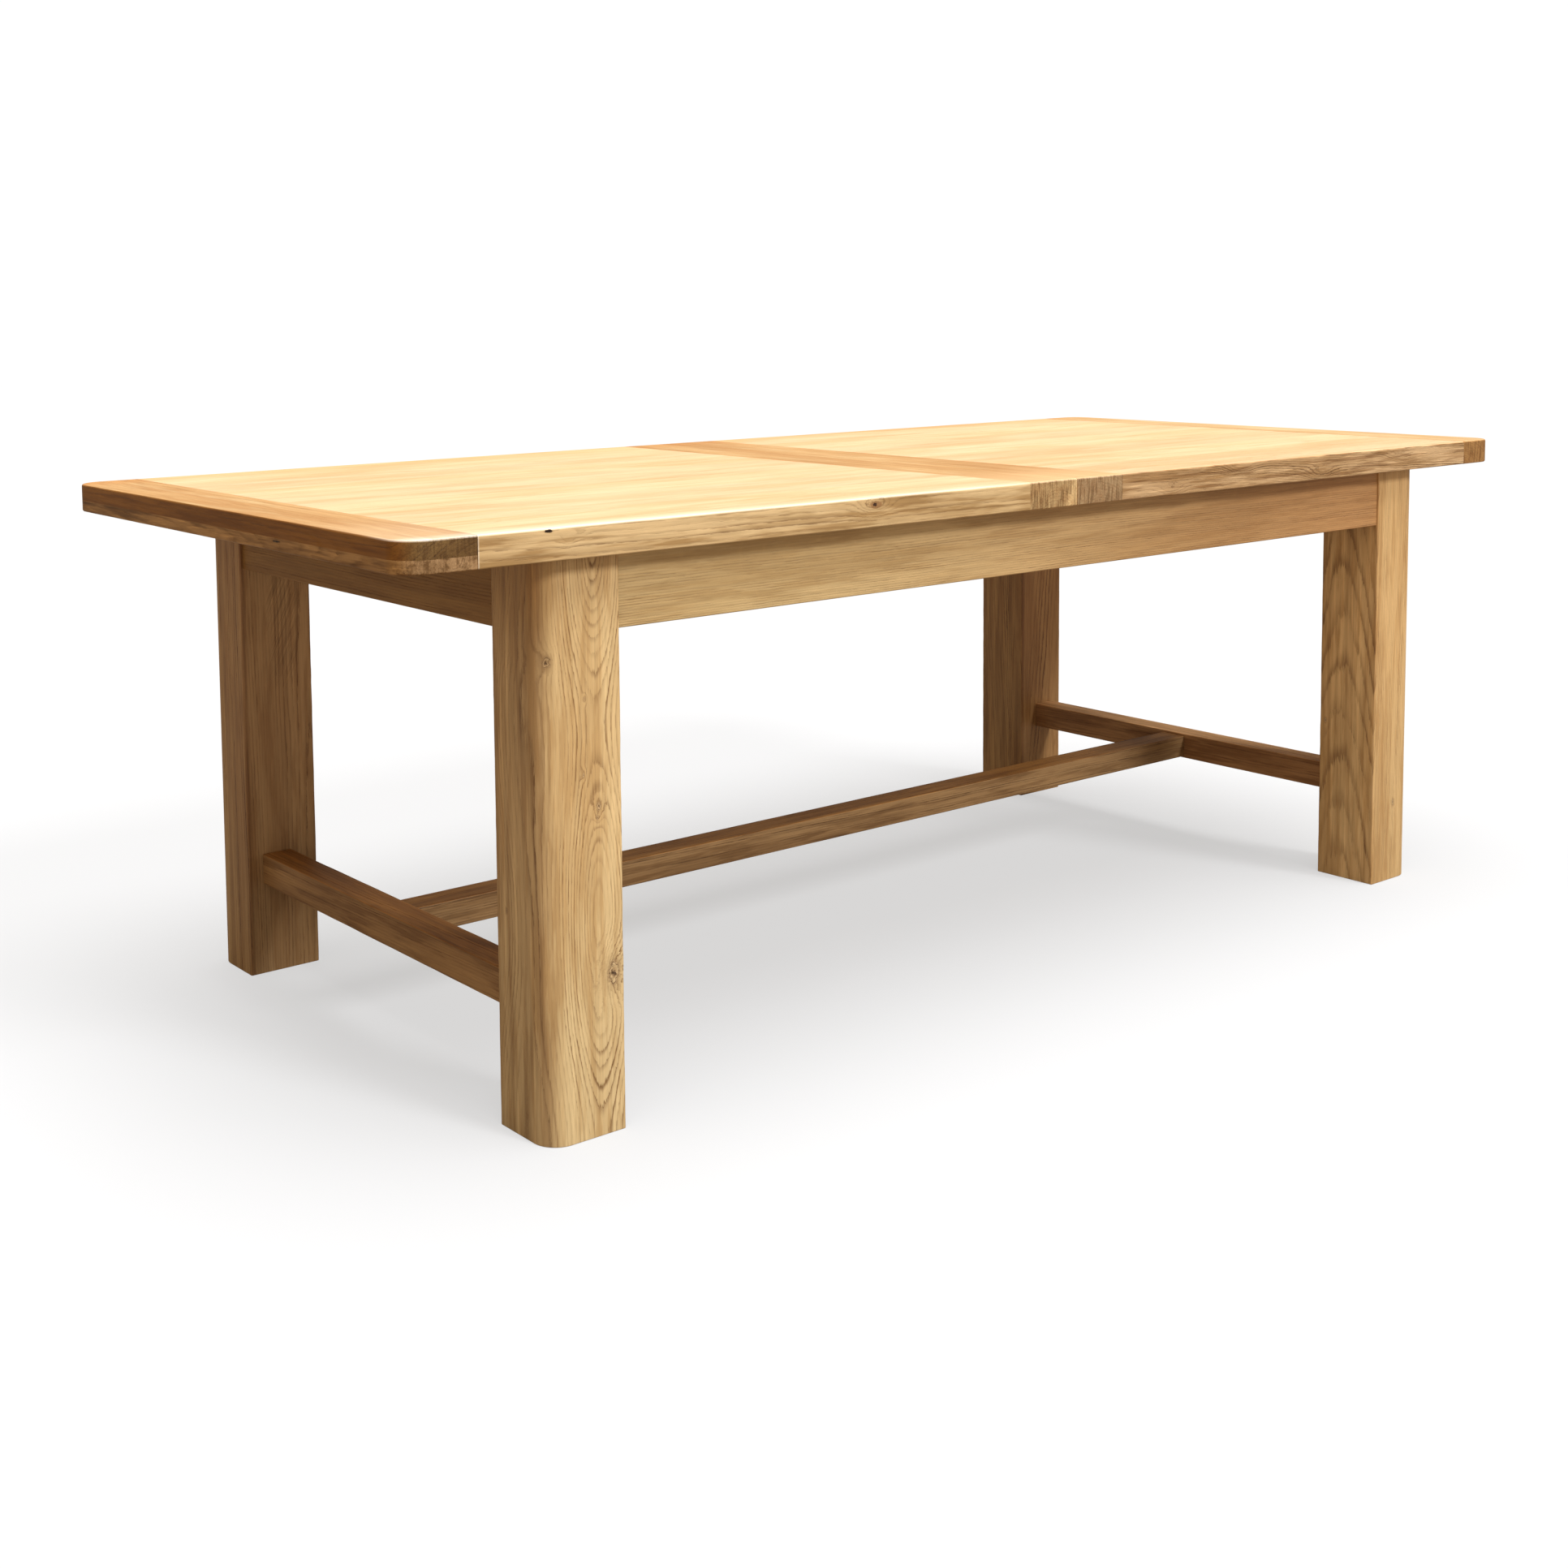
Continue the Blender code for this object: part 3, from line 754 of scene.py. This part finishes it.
# ------------------------ the frame
LEG_R = 0.035
ARRIS = 0.003
FOOT_EASE = 0.0012
LEG_STEP, LEG_RISE = 0.012, 0.018
ACROSS_Y = (1.0, 0.0, 0.55)  # a knot through a face that looks along Y, on an upright
ACROSS_X = (0.0, 1.0, 0.55)
NEAR_FACE = (1.0, 1.0, 0.55)  # a knot on one face only
LEG_KNOTS = {
    "front_left": [
        ((-0.9244, -0.470, 0.6104), ACROSS_Y, 0.0044, 0.006, 0.9),
        ((-0.8738, -0.473, 0.5608), ACROSS_Y, 0.0017, 0.005, 0.5),
        ((-0.8773, -0.473, 0.4658), ACROSS_Y, 0.0020, 0.004, 0.9),
        ((-0.8547, -0.473, 0.4233), ACROSS_Y, 0.0036, 0.008, 0.9),
        ((-0.8570, -0.473, 0.4090), ACROSS_Y, 0.0020, 0.004, 0.8),
        ((-0.8352, -0.473, 0.2067), ACROSS_Y, 0.0096, 0.017, 1.0),
        ((-0.9370, -0.3845, 0.2853), ACROSS_X, 0.0022, 0.003, 0.8),
    ],
    "front_right": [
        ((0.8190, -0.3730, 0.2813), ACROSS_X, 0.0024, 0.002, 0.9),
        ((0.8800, -0.4730, 0.1400), ACROSS_Y, 0.0035, 0.005, 0.9),
    ],
    "back_left": [((-0.8900, 0.4730, 0.4700), NEAR_FACE, 0.0060, 0.008, 1.0)],
    "back_right": [((0.9370, 0.4150, 0.3300), NEAR_FACE, 0.0055, 0.007, 1.0)],
}
# seed, pith y, pith z, tilt y, tilt z, spacing, wave, with y and z meaning world X and Y here
LEG_CUTS = {
    "front_left": (1.0, -0.854, -0.437, 0.006, 0.0214, 0.0036, 0.009),
    "front_right": (5.2, 1.026, -0.408, -0.048, -0.004, 0.0036, 0.014),
    "back_left": (8.6, -0.800, 0.300, 0.03, 0.02, 0.0042, 0.022),
    "back_right": (12.3, 0.960, 0.520, -0.02, -0.04, 0.0043, 0.028),
}
# How far the pith sways, how often and from where.
LEG_SWAYS = {"front_left": (-0.015, 11.86, -4.685)}
# Loop corners run (high x, low y), (high x, high y), (low x, high y), (low x, low y).
OUTER_CORNERS = {"front_left": 3, "back_left": 2, "back_right": 1, "front_right": 0}
LEG_TINTS = {
    "front_left": PLAIN,
    "front_right": (0.93, 0.84, 0.75),
    "back_left": (0.73, 0.62, 0.57),
    "back_right": (0.78, 0.60, 0.46),
}
# Painted light and shade on the flanks of each leg, the faces that look along X: the front right
# leg's are painted lighter, the others darker.
FLANK_LIGHT_AND_SHADE = {
    "front_left": (0.79, 0.73, 0.68),
    "front_right": (1.20, 1.20, 1.22),
    "back_left": (0.84, 0.80, 0.70),
    "back_right": (0.84, 0.86, 0.84),
}
# Painted shade on the top of each flank, under the apron: the front left leg's is the darkest.
FLANK_TOP_SHADE = {True: (0.80, 0.71, 0.56), False: (0.88, 0.82, 0.75)}
# Slanting ray figure on the front of the back left leg.
RAY_PATCH = (
    LEG_FRONT,
    between(2, 0.43, 0.53),
    between(2, 0.66, 0.60),
    between(0, -0.900, -0.882),
    between(0, -0.836, -0.856),
)
RAY_LEAN, RAY_STRETCH, RAY_POWER = 0.45, (420.0, 9.0, 16.0), 0.65
DARK_RAYS = hatched(RAY_LEAN, RAY_STRETCH, 0.48, 0.62, RAY_POWER)
PALE_RAYS = hatched(RAY_LEAN, RAY_STRETCH, 0.44, 0.32, RAY_POWER)
SLANTED = [
    shade((0.62, 0.58, 0.53), *RAY_PATCH, DARK_RAYS),
    shade((1.32, 1.34, 1.36), *RAY_PATCH, PALE_RAYS),
    shade((1.16, 1.18, 1.20), LEG_FRONT, between(0, -0.868, -0.845, 0.8)),
]


def leg_breaks(low, high, round_low, near):
    """Breaks across a leg, which has its round corner at one end and an arris at the other."""
    edge = LEG_R + CORNER_ROOM
    values = breaks(low + edge, high - edge, LEG_STEP, near)
    if round_low:
        values += breaks(high - edge, high - ARRIS - CORNER_ROOM, LEG_STEP, near)
    else:
        values += breaks(low + ARRIS + CORNER_ROOM, low + edge, LEG_STEP, near)
    return sorted(values)


def add_legs():
    for corner, knots in LEG_KNOTS.items():
        node = f"{corner}_leg"
        front, left = corner.startswith("front"), corner.endswith("left")
        radii = [ARRIS] * 4
        radii[OUTER_CORNERS[corner]] = LEG_R
        low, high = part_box(node)
        box = ((low[0], low[1]), (high[0], high[1]))
        us = leg_breaks(low[0], high[0], left, knot_places(knots, 0))
        vs = leg_breaks(low[1], high[1], front, knot_places(knots, 1))
        foot = eased_end(low[2], FOOT_EASE, 1)
        stations = foot + flat_run(low[2] + FOOT_EASE, high[2], LEG_RISE, knot_places(knots, 2))
        obj = loft(f"fine_{node}", "Z", stations, loop_maker(box, radii, us, vs), knots)
        settings = dict(
            look="frame",
            grain="Z",
            cut=LEG_CUTS[corner],
            knots=knots,
            tint=LEG_TINTS[corner],
            sway=LEG_SWAYS.get(corner, NO_SWAY),
        )
        finishes = [
            # Painted light and shade on the flanks.
            shade(FLANK_LIGHT_AND_SHADE[corner], FLANK),
            shade((0.72, 0.66, 0.60), FLANK, mottled((60.0, 60.0, 2.5), 0.48, 0.66, 0.8)),
            shade((1.25, 1.28, 1.30), FLANK, mottled((90.0, 90.0, 3.5), 0.46, 0.30, 0.8)),
            # Painted shade: each leg darkens towards its foot, near the floor.
            shade((0.90, 0.93, 0.96), between(2, 0.50, 0.10)),
            # Painted shade on the top of the flanks, under the apron.
            shade(FLANK_TOP_SHADE[front and left], FLANK, between(2, 0.58, 0.72)),
        ]
        if not front:
            seam = between(0, low[0] + 0.010, low[0] + 0.004)
            finishes.append(shade((0.68, 0.60, 0.52), facing(1), seam))
        if corner == "back_left":
            finishes += SLANTED
        material = wood_material(f"oak_{node}", [(settings, None)], finishes)
        finish_piece(obj, node, "frame", material)


RAILS = (
    # node, grain, look, tint
    ("front_apron", "X", "apron", (0.95, 1.01, 1.04)),
    ("back_apron", "X", "apron", PLAIN),
    ("left_apron", "Y", "apron", (0.45, 0.35, 0.22)),
    ("right_apron", "Y", "apron", PLAIN),
    ("left_stretcher", "Y", "stretcher", (1.02, 1.0, 0.94)),
    ("right_stretcher", "Y", "stretcher", (1.33, 1.26, 1.30)),
    ("centre_stretcher", "X", "stretcher", (0.90, 0.93, 0.95)),
)
RAIL_CUTS = {
    "front_apron": (21.0, -0.440, 0.45, 0.0, 0.004, 0.0036, 0.008),
    "back_apron": (23.0, 0.440, 0.47, 0.004, -0.006, 0.0040, 0.010),
    "left_apron": (25.0, -0.90, 0.50, 0.004, 0.006, 0.0040, 0.012),
    "right_apron": (27.0, 0.90, 0.48, 0.004, 0.006, 0.0040, 0.012),
    "left_stretcher": (31.0, -0.95, 0.10, 0.01, 0.01, 0.0036, 0.014),
    "right_stretcher": (33.0, 0.80, 0.10, 0.01, 0.01, 0.0036, 0.014),
    "centre_stretcher": (35.0, -0.06, 0.10, 0.006, 0.01, 0.0038, 0.014),
}
# Painted light and shade on the upper faces of the stretchers, set apart from their sides.
STRETCHER_TOP_LIGHT_AND_SHADE = {
    "left_stretcher": (1.25, 1.00, 0.62),
    "right_stretcher": (1.90, 2.10, 2.20),
    "centre_stretcher": (0.92, 0.70, 0.40),
}
RAIL_ARRIS, RAIL_STEP = 0.002, 0.018


def add_rails():
    for node, axis, look, tint in RAILS:
        settings = dict(look=look, grain=axis, cut=RAIL_CUTS[node], tint=tint)
        finishes, slot, shine = [], "oak_frame", SHINE
        if node == "front_apron":
            finishes = [shade((0.77, 0.56, 0.45), between(0, -0.7, 0.9))]
        if node == "left_apron":
            shine = DULL
        if look == "stretcher":
            slot, shine = "oak_stretcher", DULL
            # Painted light and shade on the upper faces.
            finishes = [shade(STRETCHER_TOP_LIGHT_AND_SHADE[node], UPPER)]
        material = wood_material(f"oak_{node}", [(settings, None)], finishes, shine=shine)
        straight_board(node, axis, "frame", material, (RAIL_ARRIS,) * 4, RAIL_STEP)


# ------------------------ the top
TOP_EASE, UNDER_EASE, JOINT_EASE = 0.0030, 0.0020, 0.0014
TOP_SHINE = 0.2
EDGE_KNOTS = {
    ("left", 1): [
        ((-0.9411, -0.500, 0.7765), (0.55, 0.0, 1.6), 0.0028, 0.003, 1.0),
        ((-0.9130, -0.500, 0.7640), (0.45, 0.0, 1.0), 0.0024, 0.006, 0.0),
        ((-0.8950, -0.500, 0.7700), (0.45, 0.0, 1.0), 0.0020, 0.005, 0.0),
        ((-0.4101, -0.500, 0.7690), (0.40, 0.0, 1.0), 0.0050, 0.016, 0.0),
    ],
    ("right", 1): [
        ((0.2200, -0.500, 0.7480), (0.30, 0.0, 1.0), 0.0040, 0.008, 0.0),
        ((0.3900, -0.500, 0.7700), (0.30, 0.0, 1.0), 0.0050, 0.010, 0.0),
        ((0.6100, -0.500, 0.7500), (0.30, 0.0, 1.0), 0.0050, 0.010, 0.0),
        ((0.8300, -0.500, 0.7650), (0.30, 0.0, 1.0), 0.0050, 0.008, 0.0),
    ],
}
WILD_CUT = (77.0, -0.44, 0.72, 0.010, 0.055, 0.0032, 0.030)
# Long dark and pale patches that lean along the right front edge: the dark ones are figure, the
# pale ones partly figure and partly painted highlights.
WAVY_FIGURE_AND_HIGHLIGHTS = [
    shade((0.62, 0.54, 0.47), TOP_FRONT, mottled((9.0, 1.0, 190.0), 0.50, 0.64, 0.85)),
    shade((1.35, 1.38, 1.40), TOP_FRONT, mottled((14.0, 2.0, 260.0), 0.44, 0.32, 0.85)),
]
EDGE_TINTS = {"left": (0.88, 0.88, 0.90), "right": (0.79, 0.74, 0.78)}
CLAMP_ENDS = {"left": (0.92, 1.03, 1.14), "right": (0.78, 0.87, 1.07)}
# Painted highlights: the top is painted paler along its front, and its upper arrises are painted
# pale. Towards the back the top is more orange.
# A pale cream for the painted highlights, and for one pale seam.
HIGHLIGHT_AND_SEAM_CREAM = (0.93, 0.86, 0.74)
# Near-black painted shade for the hollows of the check and the pit.
HOLLOW_SHADE = (0.020, 0.010, 0.005)
TOP_HIGHLIGHTS_AND_BACK_TINT = [
    paint(HIGHLIGHT_AND_SEAM_CREAM, UPPER, between(1, -0.460, -0.499, 0.32), between(0, 0.10, -0.60)),
    paint(
        HIGHLIGHT_AND_SEAM_CREAM,
        rim(0.24),
        between(2, 0.770, 0.778),
        between(1, -0.40, -0.48),
        between(0, 0.3, -0.4),
    ),
    shade((1.0, 0.84, 0.68), UPPER, between(1, 0.400, 0.490, 0.8)),
]
# Soft warm and pale patches along the grain of the top's long and cross boards.
LONG_CLOUDS = [
    shade((0.97, 0.87, 0.79), UPPER, mottled((2.2, 15.0, 1.0), 0.47, 0.64, 0.9)),
    shade((1.02, 1.06, 1.16), UPPER, mottled((5.0, 44.0, 2.0), 0.46, 0.30, 0.6)),
]
CROSS_CLOUDS = [
    shade((0.91, 0.86, 0.80), UPPER, mottled((34.0, 4.0, 1.0), 0.46, 0.64, 0.8)),
    shade((1.08, 1.22, 1.40), UPPER, mottled((50.0, 6.0, 2.0), 0.48, 0.32, 0.8)),
]
# Painted sheen: the front ends of the clamp boards are painted paler, towards the tone of the long
# boards.
FRONT_SHEEN = paint((0.70, 0.47, 0.25), UPPER, between(1, -0.28, -0.48, 0.42))

# Streaks in the end grain.
STREAKS = mottled((320.0, 8.0, 26.0), 0.46, 0.62, 0.85)
END_STREAKS = shade((0.52, 0.46, 0.40), TOP_ENDS, STREAKS)
FAR_END = [shade((0.82, 0.62, 0.42), UPPER, between(0, 1.048, 1.042)), END_STREAKS]
# The left end board is two boards glued flat, which meet at this height.
LAYER_Z, LAYER_BLEND = 0.7560, 0.0004
UNDER_LAYER = both(FLANK, between(2, LAYER_Z, LAYER_Z - 2 * LAYER_BLEND))
NEAR_END = [
    # A painted highlight: the end board's top is paler towards the front.
    paint(HIGHLIGHT_AND_SEAM_CREAM, UPPER, between(1, -0.20, -0.46, 0.09)),
    shade((0.78, 0.74, 0.68), TOP_ENDS, STREAKS),
    # The check is painted near-black, painted shade in its hollow.
    paint(HOLLOW_SHADE, spot((-1.1400, -0.1830, 0.7520), (0.0, 0.11, 1.0), 0.0013)),
    shade((0.70, 0.65, 0.58), UNDER_LAYER, mottled((9.0, 12.0, 170.0), 0.50, 0.64, 0.9)),
    shade((1.34, 1.36, 1.36), UNDER_LAYER, mottled((9.0, 20.0, 230.0), 0.45, 0.32, 0.9)),
    shade((0.34, 0.26, 0.18), between(0, -1.0414, -1.0404, 0.65)),
]
# Marks on the left front edge: a pale seam, a pit painted near-black as painted shade, and a knot.
EDGE_MARKS = [
    paint(HIGHLIGHT_AND_SEAM_CREAM, TOP_FRONT, between(0, -1.0378, -1.0386, 0.28)),
    paint(HOLLOW_SHADE, spot((-0.9411, -0.5000, 0.7763), (0.34, 0.0, 1.0), 0.0021)),
    paint((0.30, 0.165, 0.070), spot((-0.4080, -0.5000, 0.7695), (0.40, 0.0, 1.0), 0.0052)),
    paint((0.045, 0.020, 0.010), spot((-0.4101, -0.5000, 0.7700), (0.65, 0.0, 1.0), 0.0027)),
]
# A pale stepped strip on the end of the left clamp board, beside the joint.
STRIP_TINT = (1.42, 1.48, 1.55)
PALE_STRIP = [
    shade(STRIP_TINT, TOP_FRONT, between(0, -0.0265, -0.0255), between(2, 0.7575, 0.7565)),
    shade(STRIP_TINT, TOP_FRONT, between(0, -0.0135, -0.0125), between(2, 0.7565, 0.7575)),
]
LONG_BOARDS = 7  # in each half of the top
TOP_STEP = 0.02
WEATHERED_DEPTH = 0.0022


def add_long_boards():
    for side, sign in (("left", -1), ("right", 1)):
        for number in range(1, LONG_BOARDS + 1):
            node = f"{side}_top_board_{number}"
            low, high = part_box(node)
            middle = (low[1] + high[1]) / 2
            # Loop corners run (high y, low z), (high y, high z), (low y, high z), (low y, low z).
            radii = [0.0] * 4
            if number == 1:
                radii[2], radii[3] = TOP_EASE, UNDER_EASE
            if number == LONG_BOARDS:
                radii[1], radii[0] = TOP_EASE, UNDER_EASE
            glued = [("low", 0), ("high", 0)]
            if number > 1:
                glued.append(("low", 1))
            if number < LONG_BOARDS:
                glued.append(("high", 1))
            wander = math.sin(number * 2.4 + sign)
            cut = (
                40.0 + 3.7 * number + (0 if sign < 0 else 31),
                middle + 0.05 * wander,
                0.70 - 0.05 * abs(wander),
                0.012 * wander,
                0.02,
                0.0044,
                0.012,
            )
            lightness = 1.0 + 0.03 * math.sin(number * 3.1 + 2 * sign)
            knots = EDGE_KNOTS.get((side, number), ())
            settings = dict(
                look="edge",
                grain="X",
                cut=cut,
                knots=knots,
                tint=EDGE_TINTS[side],
                up_look="top",
                up_tint=(0.985 * lightness, 0.96 * lightness, lightness),
            )
            finishes, depth = TOP_HIGHLIGHTS_AND_BACK_TINT + LONG_CLOUDS, BUMP_DEPTH
            if (side, number) == ("left", 1):
                finishes = finishes + EDGE_MARKS
            if (side, number) == ("right", 1):
                settings["cut"], depth = WILD_CUT, WEATHERED_DEPTH
                finishes = finishes + WAVY_FIGURE_AND_HIGHLIGHTS
            layers = [(settings, None)]
            material = wood_material(f"oak_{node}", layers, finishes, depth, TOP_SHINE)
            straight_board(
                node, "X", f"{side}_top", material, radii, TOP_STEP, knots, glued
            )


def add_clamp_boards():
    for side, sign in (("left", -1), ("right", 1)):
        node = f"{side}_clamp_board"
        radii = [UNDER_EASE, TOP_EASE, TOP_EASE, UNDER_EASE]
        glued = [("low" if sign < 0 else "high", 0)]
        cut = (71.0 + sign, sign * 0.05, 0.69, 0.004, 0.006, 0.0046, 0.020)
        settings = dict(look="cross", grain="Y", cut=cut, end_tint=CLAMP_ENDS[side])
        finishes = [*TOP_HIGHLIGHTS_AND_BACK_TINT, *CROSS_CLOUDS, FRONT_SHEEN, END_STREAKS]
        if sign < 0:
            finishes += PALE_STRIP
        material = wood_material(f"oak_{node}", [(settings, None)], finishes, shine=TOP_SHINE)
        ends = (0, JOINT_EASE) if sign < 0 else (JOINT_EASE, 0)
        body, slot = f"{side}_top", "oak_cross_grain"
        straight_board(node, "X", body, material, radii, TOP_STEP, (), glued, ends)


CORNER_R = 0.040
END_STEPS = (0.012, 0.016, 0.008)  # along X, Y and Z
END_CHECKS = [((-1.1400, -0.1830, 0.7520), (0.0, 0.12, 1.0), 0.0011, 0.002, 1.0)]


def add_end_boards():
    for side, sign in (("left", -1), ("right", 1)):
        node = f"{side}_end_board"
        low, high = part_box(node)
        if sign > 0:
            box = ((low[0] - GLUE_LAP, low[1]), (high[0], high[1]))
            radii, sides = (CORNER_R, CORNER_R, 0, 0), (0, 1, 1, 1)
        else:
            box = ((low[0], low[1]), (high[0] + GLUE_LAP, high[1]))
            radii, sides = (0, 0, CORNER_R, CORNER_R), (1, 1, 0, 1)
        edge = CORNER_R + CORNER_ROOM
        us = breaks(box[0][0] + edge, box[1][0] - edge, END_STEPS[0])
        vs = breaks(low[1] + edge, high[1] - edge, END_STEPS[1])
        under = eased_end(low[2], UNDER_EASE, 1)
        over = eased_end(high[2], TOP_EASE, -1)
        middle = flat_run(low[2] + UNDER_EASE, high[2] - TOP_EASE, END_STEPS[2])
        stations = under + middle + over[::-1]
        knots = END_CHECKS if sign < 0 else []
        loop_at = loop_maker(box, radii, us, vs, sides)
        obj = loft(f"fine_{node}", "Z", stations, loop_at, knots)
        cut = (81.0 + 4 * sign, sign * 1.02, 0.66, 0.004, 0.006, 0.0048, 0.024)
        settings = dict(
            look="cross",
            grain="Y",
            cut=cut,
            end_tint=(0.69, 0.61, 0.50),
            up_look="cross",
            up_tint=(1.12, 1.28, 1.50),
        )
        layers = [(settings, None)]
        if sign < 0:
            # A dark board above, and a paler figured one below.
            below = dict(
                look="drab",
                grain="Y",
                cut=(87.0, -1.10, 0.742, 0.05, 0.03, 0.0034, 0.030),
                knots=knots,
                end_tint=(1.16, 1.36, 1.95),
            )
            above = dict(settings, look="umber", knots=knots, up_tint=PLAIN)
            above["end_tint"] = (0.84, 1.22, 2.80)
            upper = between(2, LAYER_Z - LAYER_BLEND, LAYER_Z + LAYER_BLEND)
            layers = [(below, None), (above, upper)]
        finishes = TOP_HIGHLIGHTS_AND_BACK_TINT + CROSS_CLOUDS + (NEAR_END if sign < 0 else FAR_END)
        material = wood_material(f"oak_{node}", layers, finishes, shine=TOP_SHINE)
        finish_piece(obj, node, f"{side}_top", material)


# ------------------------ hidden gear
def add_gear_looks():
    beech = {
        "X": ("runner", "guide", "dowel"),
        "Y": ("bearer", "spline"),
        "Z": ("brace",),
    }
    cut = (91.0, 0.03, 0.60, 0.01, 0.02, 0.0030, 0.015)
    for grain, words in beech.items():
        settings = dict(look="beech", grain=grain, cut=cut)
        material = wood_material(f"beech_{grain}", [(settings, None)])
        for name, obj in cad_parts.items():
            if any(word in name for word in words):
                obj.material_slots[0].material = material
    steel, build, shader = new_material("zinc_steel")
    spangle = build.noise(build.place(), (260.0, 260.0, 260.0), 3.0)["Fac"]
    build.feed(
        shader.inputs["Base Color"],
        build.ramp(spangle, [(0.3, (0.42, 0.43, 0.45)), (0.7, (0.62, 0.63, 0.64))]),
    )
    build.feed(shader.inputs["Roughness"], build.step(spangle, 0.3, 0.7, 0.28, 0.48))
    shader.inputs["Metallic"].default_value = 1.0
    for name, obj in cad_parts.items():
        if name.endswith("_leg_bolt"):
            obj.material_slots[0].material = steel


# ------------------------ studio
AMBIENT = (0.31, 0.25, 0.19)
FLOOR_SHINE, FLOOR_ALBEDO = 0.56, 0.205
FLOOR_RADIUS, DOME_RADIUS, DOME_SHINE = 24.0, 25.0, 1.02
BOUNCE = (0.20, 0.16, 0.12)
CARD_DROP = 0.001
SUNS = (
    # name, azimuth, elevation, strength, angle, colour
    ("key", 15.0, 37.0, 2.15, 14.0, PLAIN),
    ("overhead", 5.0, 83.0, 5.0, 52.0, PLAIN),
    ("front_fill", 8.0, 10.0, 0.30, 40.0, (1.0, 0.90, 0.78)),
    ("side_fill", -72.0, 8.0, 0.40, 40.0, (1.0, 0.86, 0.70)),
)


def stage_material(name, shine, albedo):
    """A pale stage surface that glows by shine and takes the light and shadows by albedo."""
    material, build, _ = new_material(name)
    build.tree.nodes.clear()
    output = build.add("ShaderNodeOutputMaterial")
    glow = build.add("ShaderNodeEmission")
    glow.inputs["Strength"].default_value = shine
    if albedo:
        matt = build.add("ShaderNodeBsdfDiffuse")
        matt.inputs["Color"].default_value = (albedo, albedo * 1.015, albedo * 1.04, 1.0)
        total = build.add("ShaderNodeAddShader")
        build.feed(total.inputs[0], glow.outputs[0])
        build.feed(total.inputs[1], matt.outputs[0])
        build.feed(output.inputs["Surface"], total.outputs[0])
    else:
        build.feed(output.inputs["Surface"], glow.outputs[0])
    material.cycles.emission_sampling = "NONE"
    return material


def card_material():
    material, _, shader = new_material("studio_bounce_card")
    shader.inputs["Base Color"].default_value = (*BOUNCE, 1.0)
    shader.inputs["Roughness"].default_value = 1.0
    shader.inputs["Specular IOR Level"].default_value = 0.0
    return material


def stage_piece(name, material, make, **shape):
    """A piece of the stage, with the mesh that one bmesh operator makes."""
    bm = bmesh.new()
    make(bm, **shape)
    mesh = bpy.data.meshes.new(name)
    bm.to_mesh(mesh)
    bm.free()
    mesh.materials.append(material)
    obj = new_object(name, mesh)
    obj.visible_shadow = False
    return obj


def add_stage():
    circle, sphere = bmesh.ops.create_circle, bmesh.ops.create_uvsphere
    disc = dict(make=circle, cap_ends=True, radius=FLOOR_RADIUS, segments=64)
    ball = dict(make=sphere, u_segments=48, v_segments=24, radius=DOME_RADIUS)
    for name, shine, albedo, shape in (
        ("studio_floor", FLOOR_SHINE, FLOOR_ALBEDO, disc),
        ("studio_backdrop", DOME_SHINE, 0.0, ball),
    ):
        obj = stage_piece(name, stage_material(name, shine, albedo), **shape)
        obj.visible_diffuse = False
        obj.visible_glossy = False
    # What the floor throws back at the table is set apart from how it shows.
    card = stage_piece("studio_bounce_card", card_material(), **disc)
    card.location.z = -CARD_DROP
    card.visible_camera = False


def add_sun(name, azimuth, elevation, strength, angle, colour):
    """A sun seen from the table at this azimuth, in degrees to the right of -Y, and elevation."""
    data = bpy.data.lights.new(name, "SUN")
    data.energy = strength
    data.angle = math.radians(angle)
    data.color = colour
    sun = new_object(name, data)
    turn, lift = math.radians(azimuth), math.radians(elevation)
    level = math.cos(lift)
    towards = Vector((math.sin(turn) * level, -math.cos(turn) * level, math.sin(lift)))
    sun.rotation_euler = towards.to_track_quat("Z", "Y").to_euler()


def add_lights():
    world = bpy.data.worlds.new("studio_world")
    bpy.context.scene.world = world
    world.use_nodes = True
    background = world.node_tree.nodes["Background"]
    background.inputs["Color"].default_value = (*AMBIENT, 1.0)
    background.inputs["Strength"].default_value = 1.0
    for sun in SUNS:
        add_sun(*sun)
    view = bpy.context.scene.view_settings
    view.view_transform = "Standard"
    view.look = "None"
    view.exposure = 0.0
    view.gamma = 1.0


add_camera()
add_legs()
add_rails()
add_long_boards()
add_clamp_boards()
add_end_boards()
add_gear_looks()
add_stage()
add_lights()
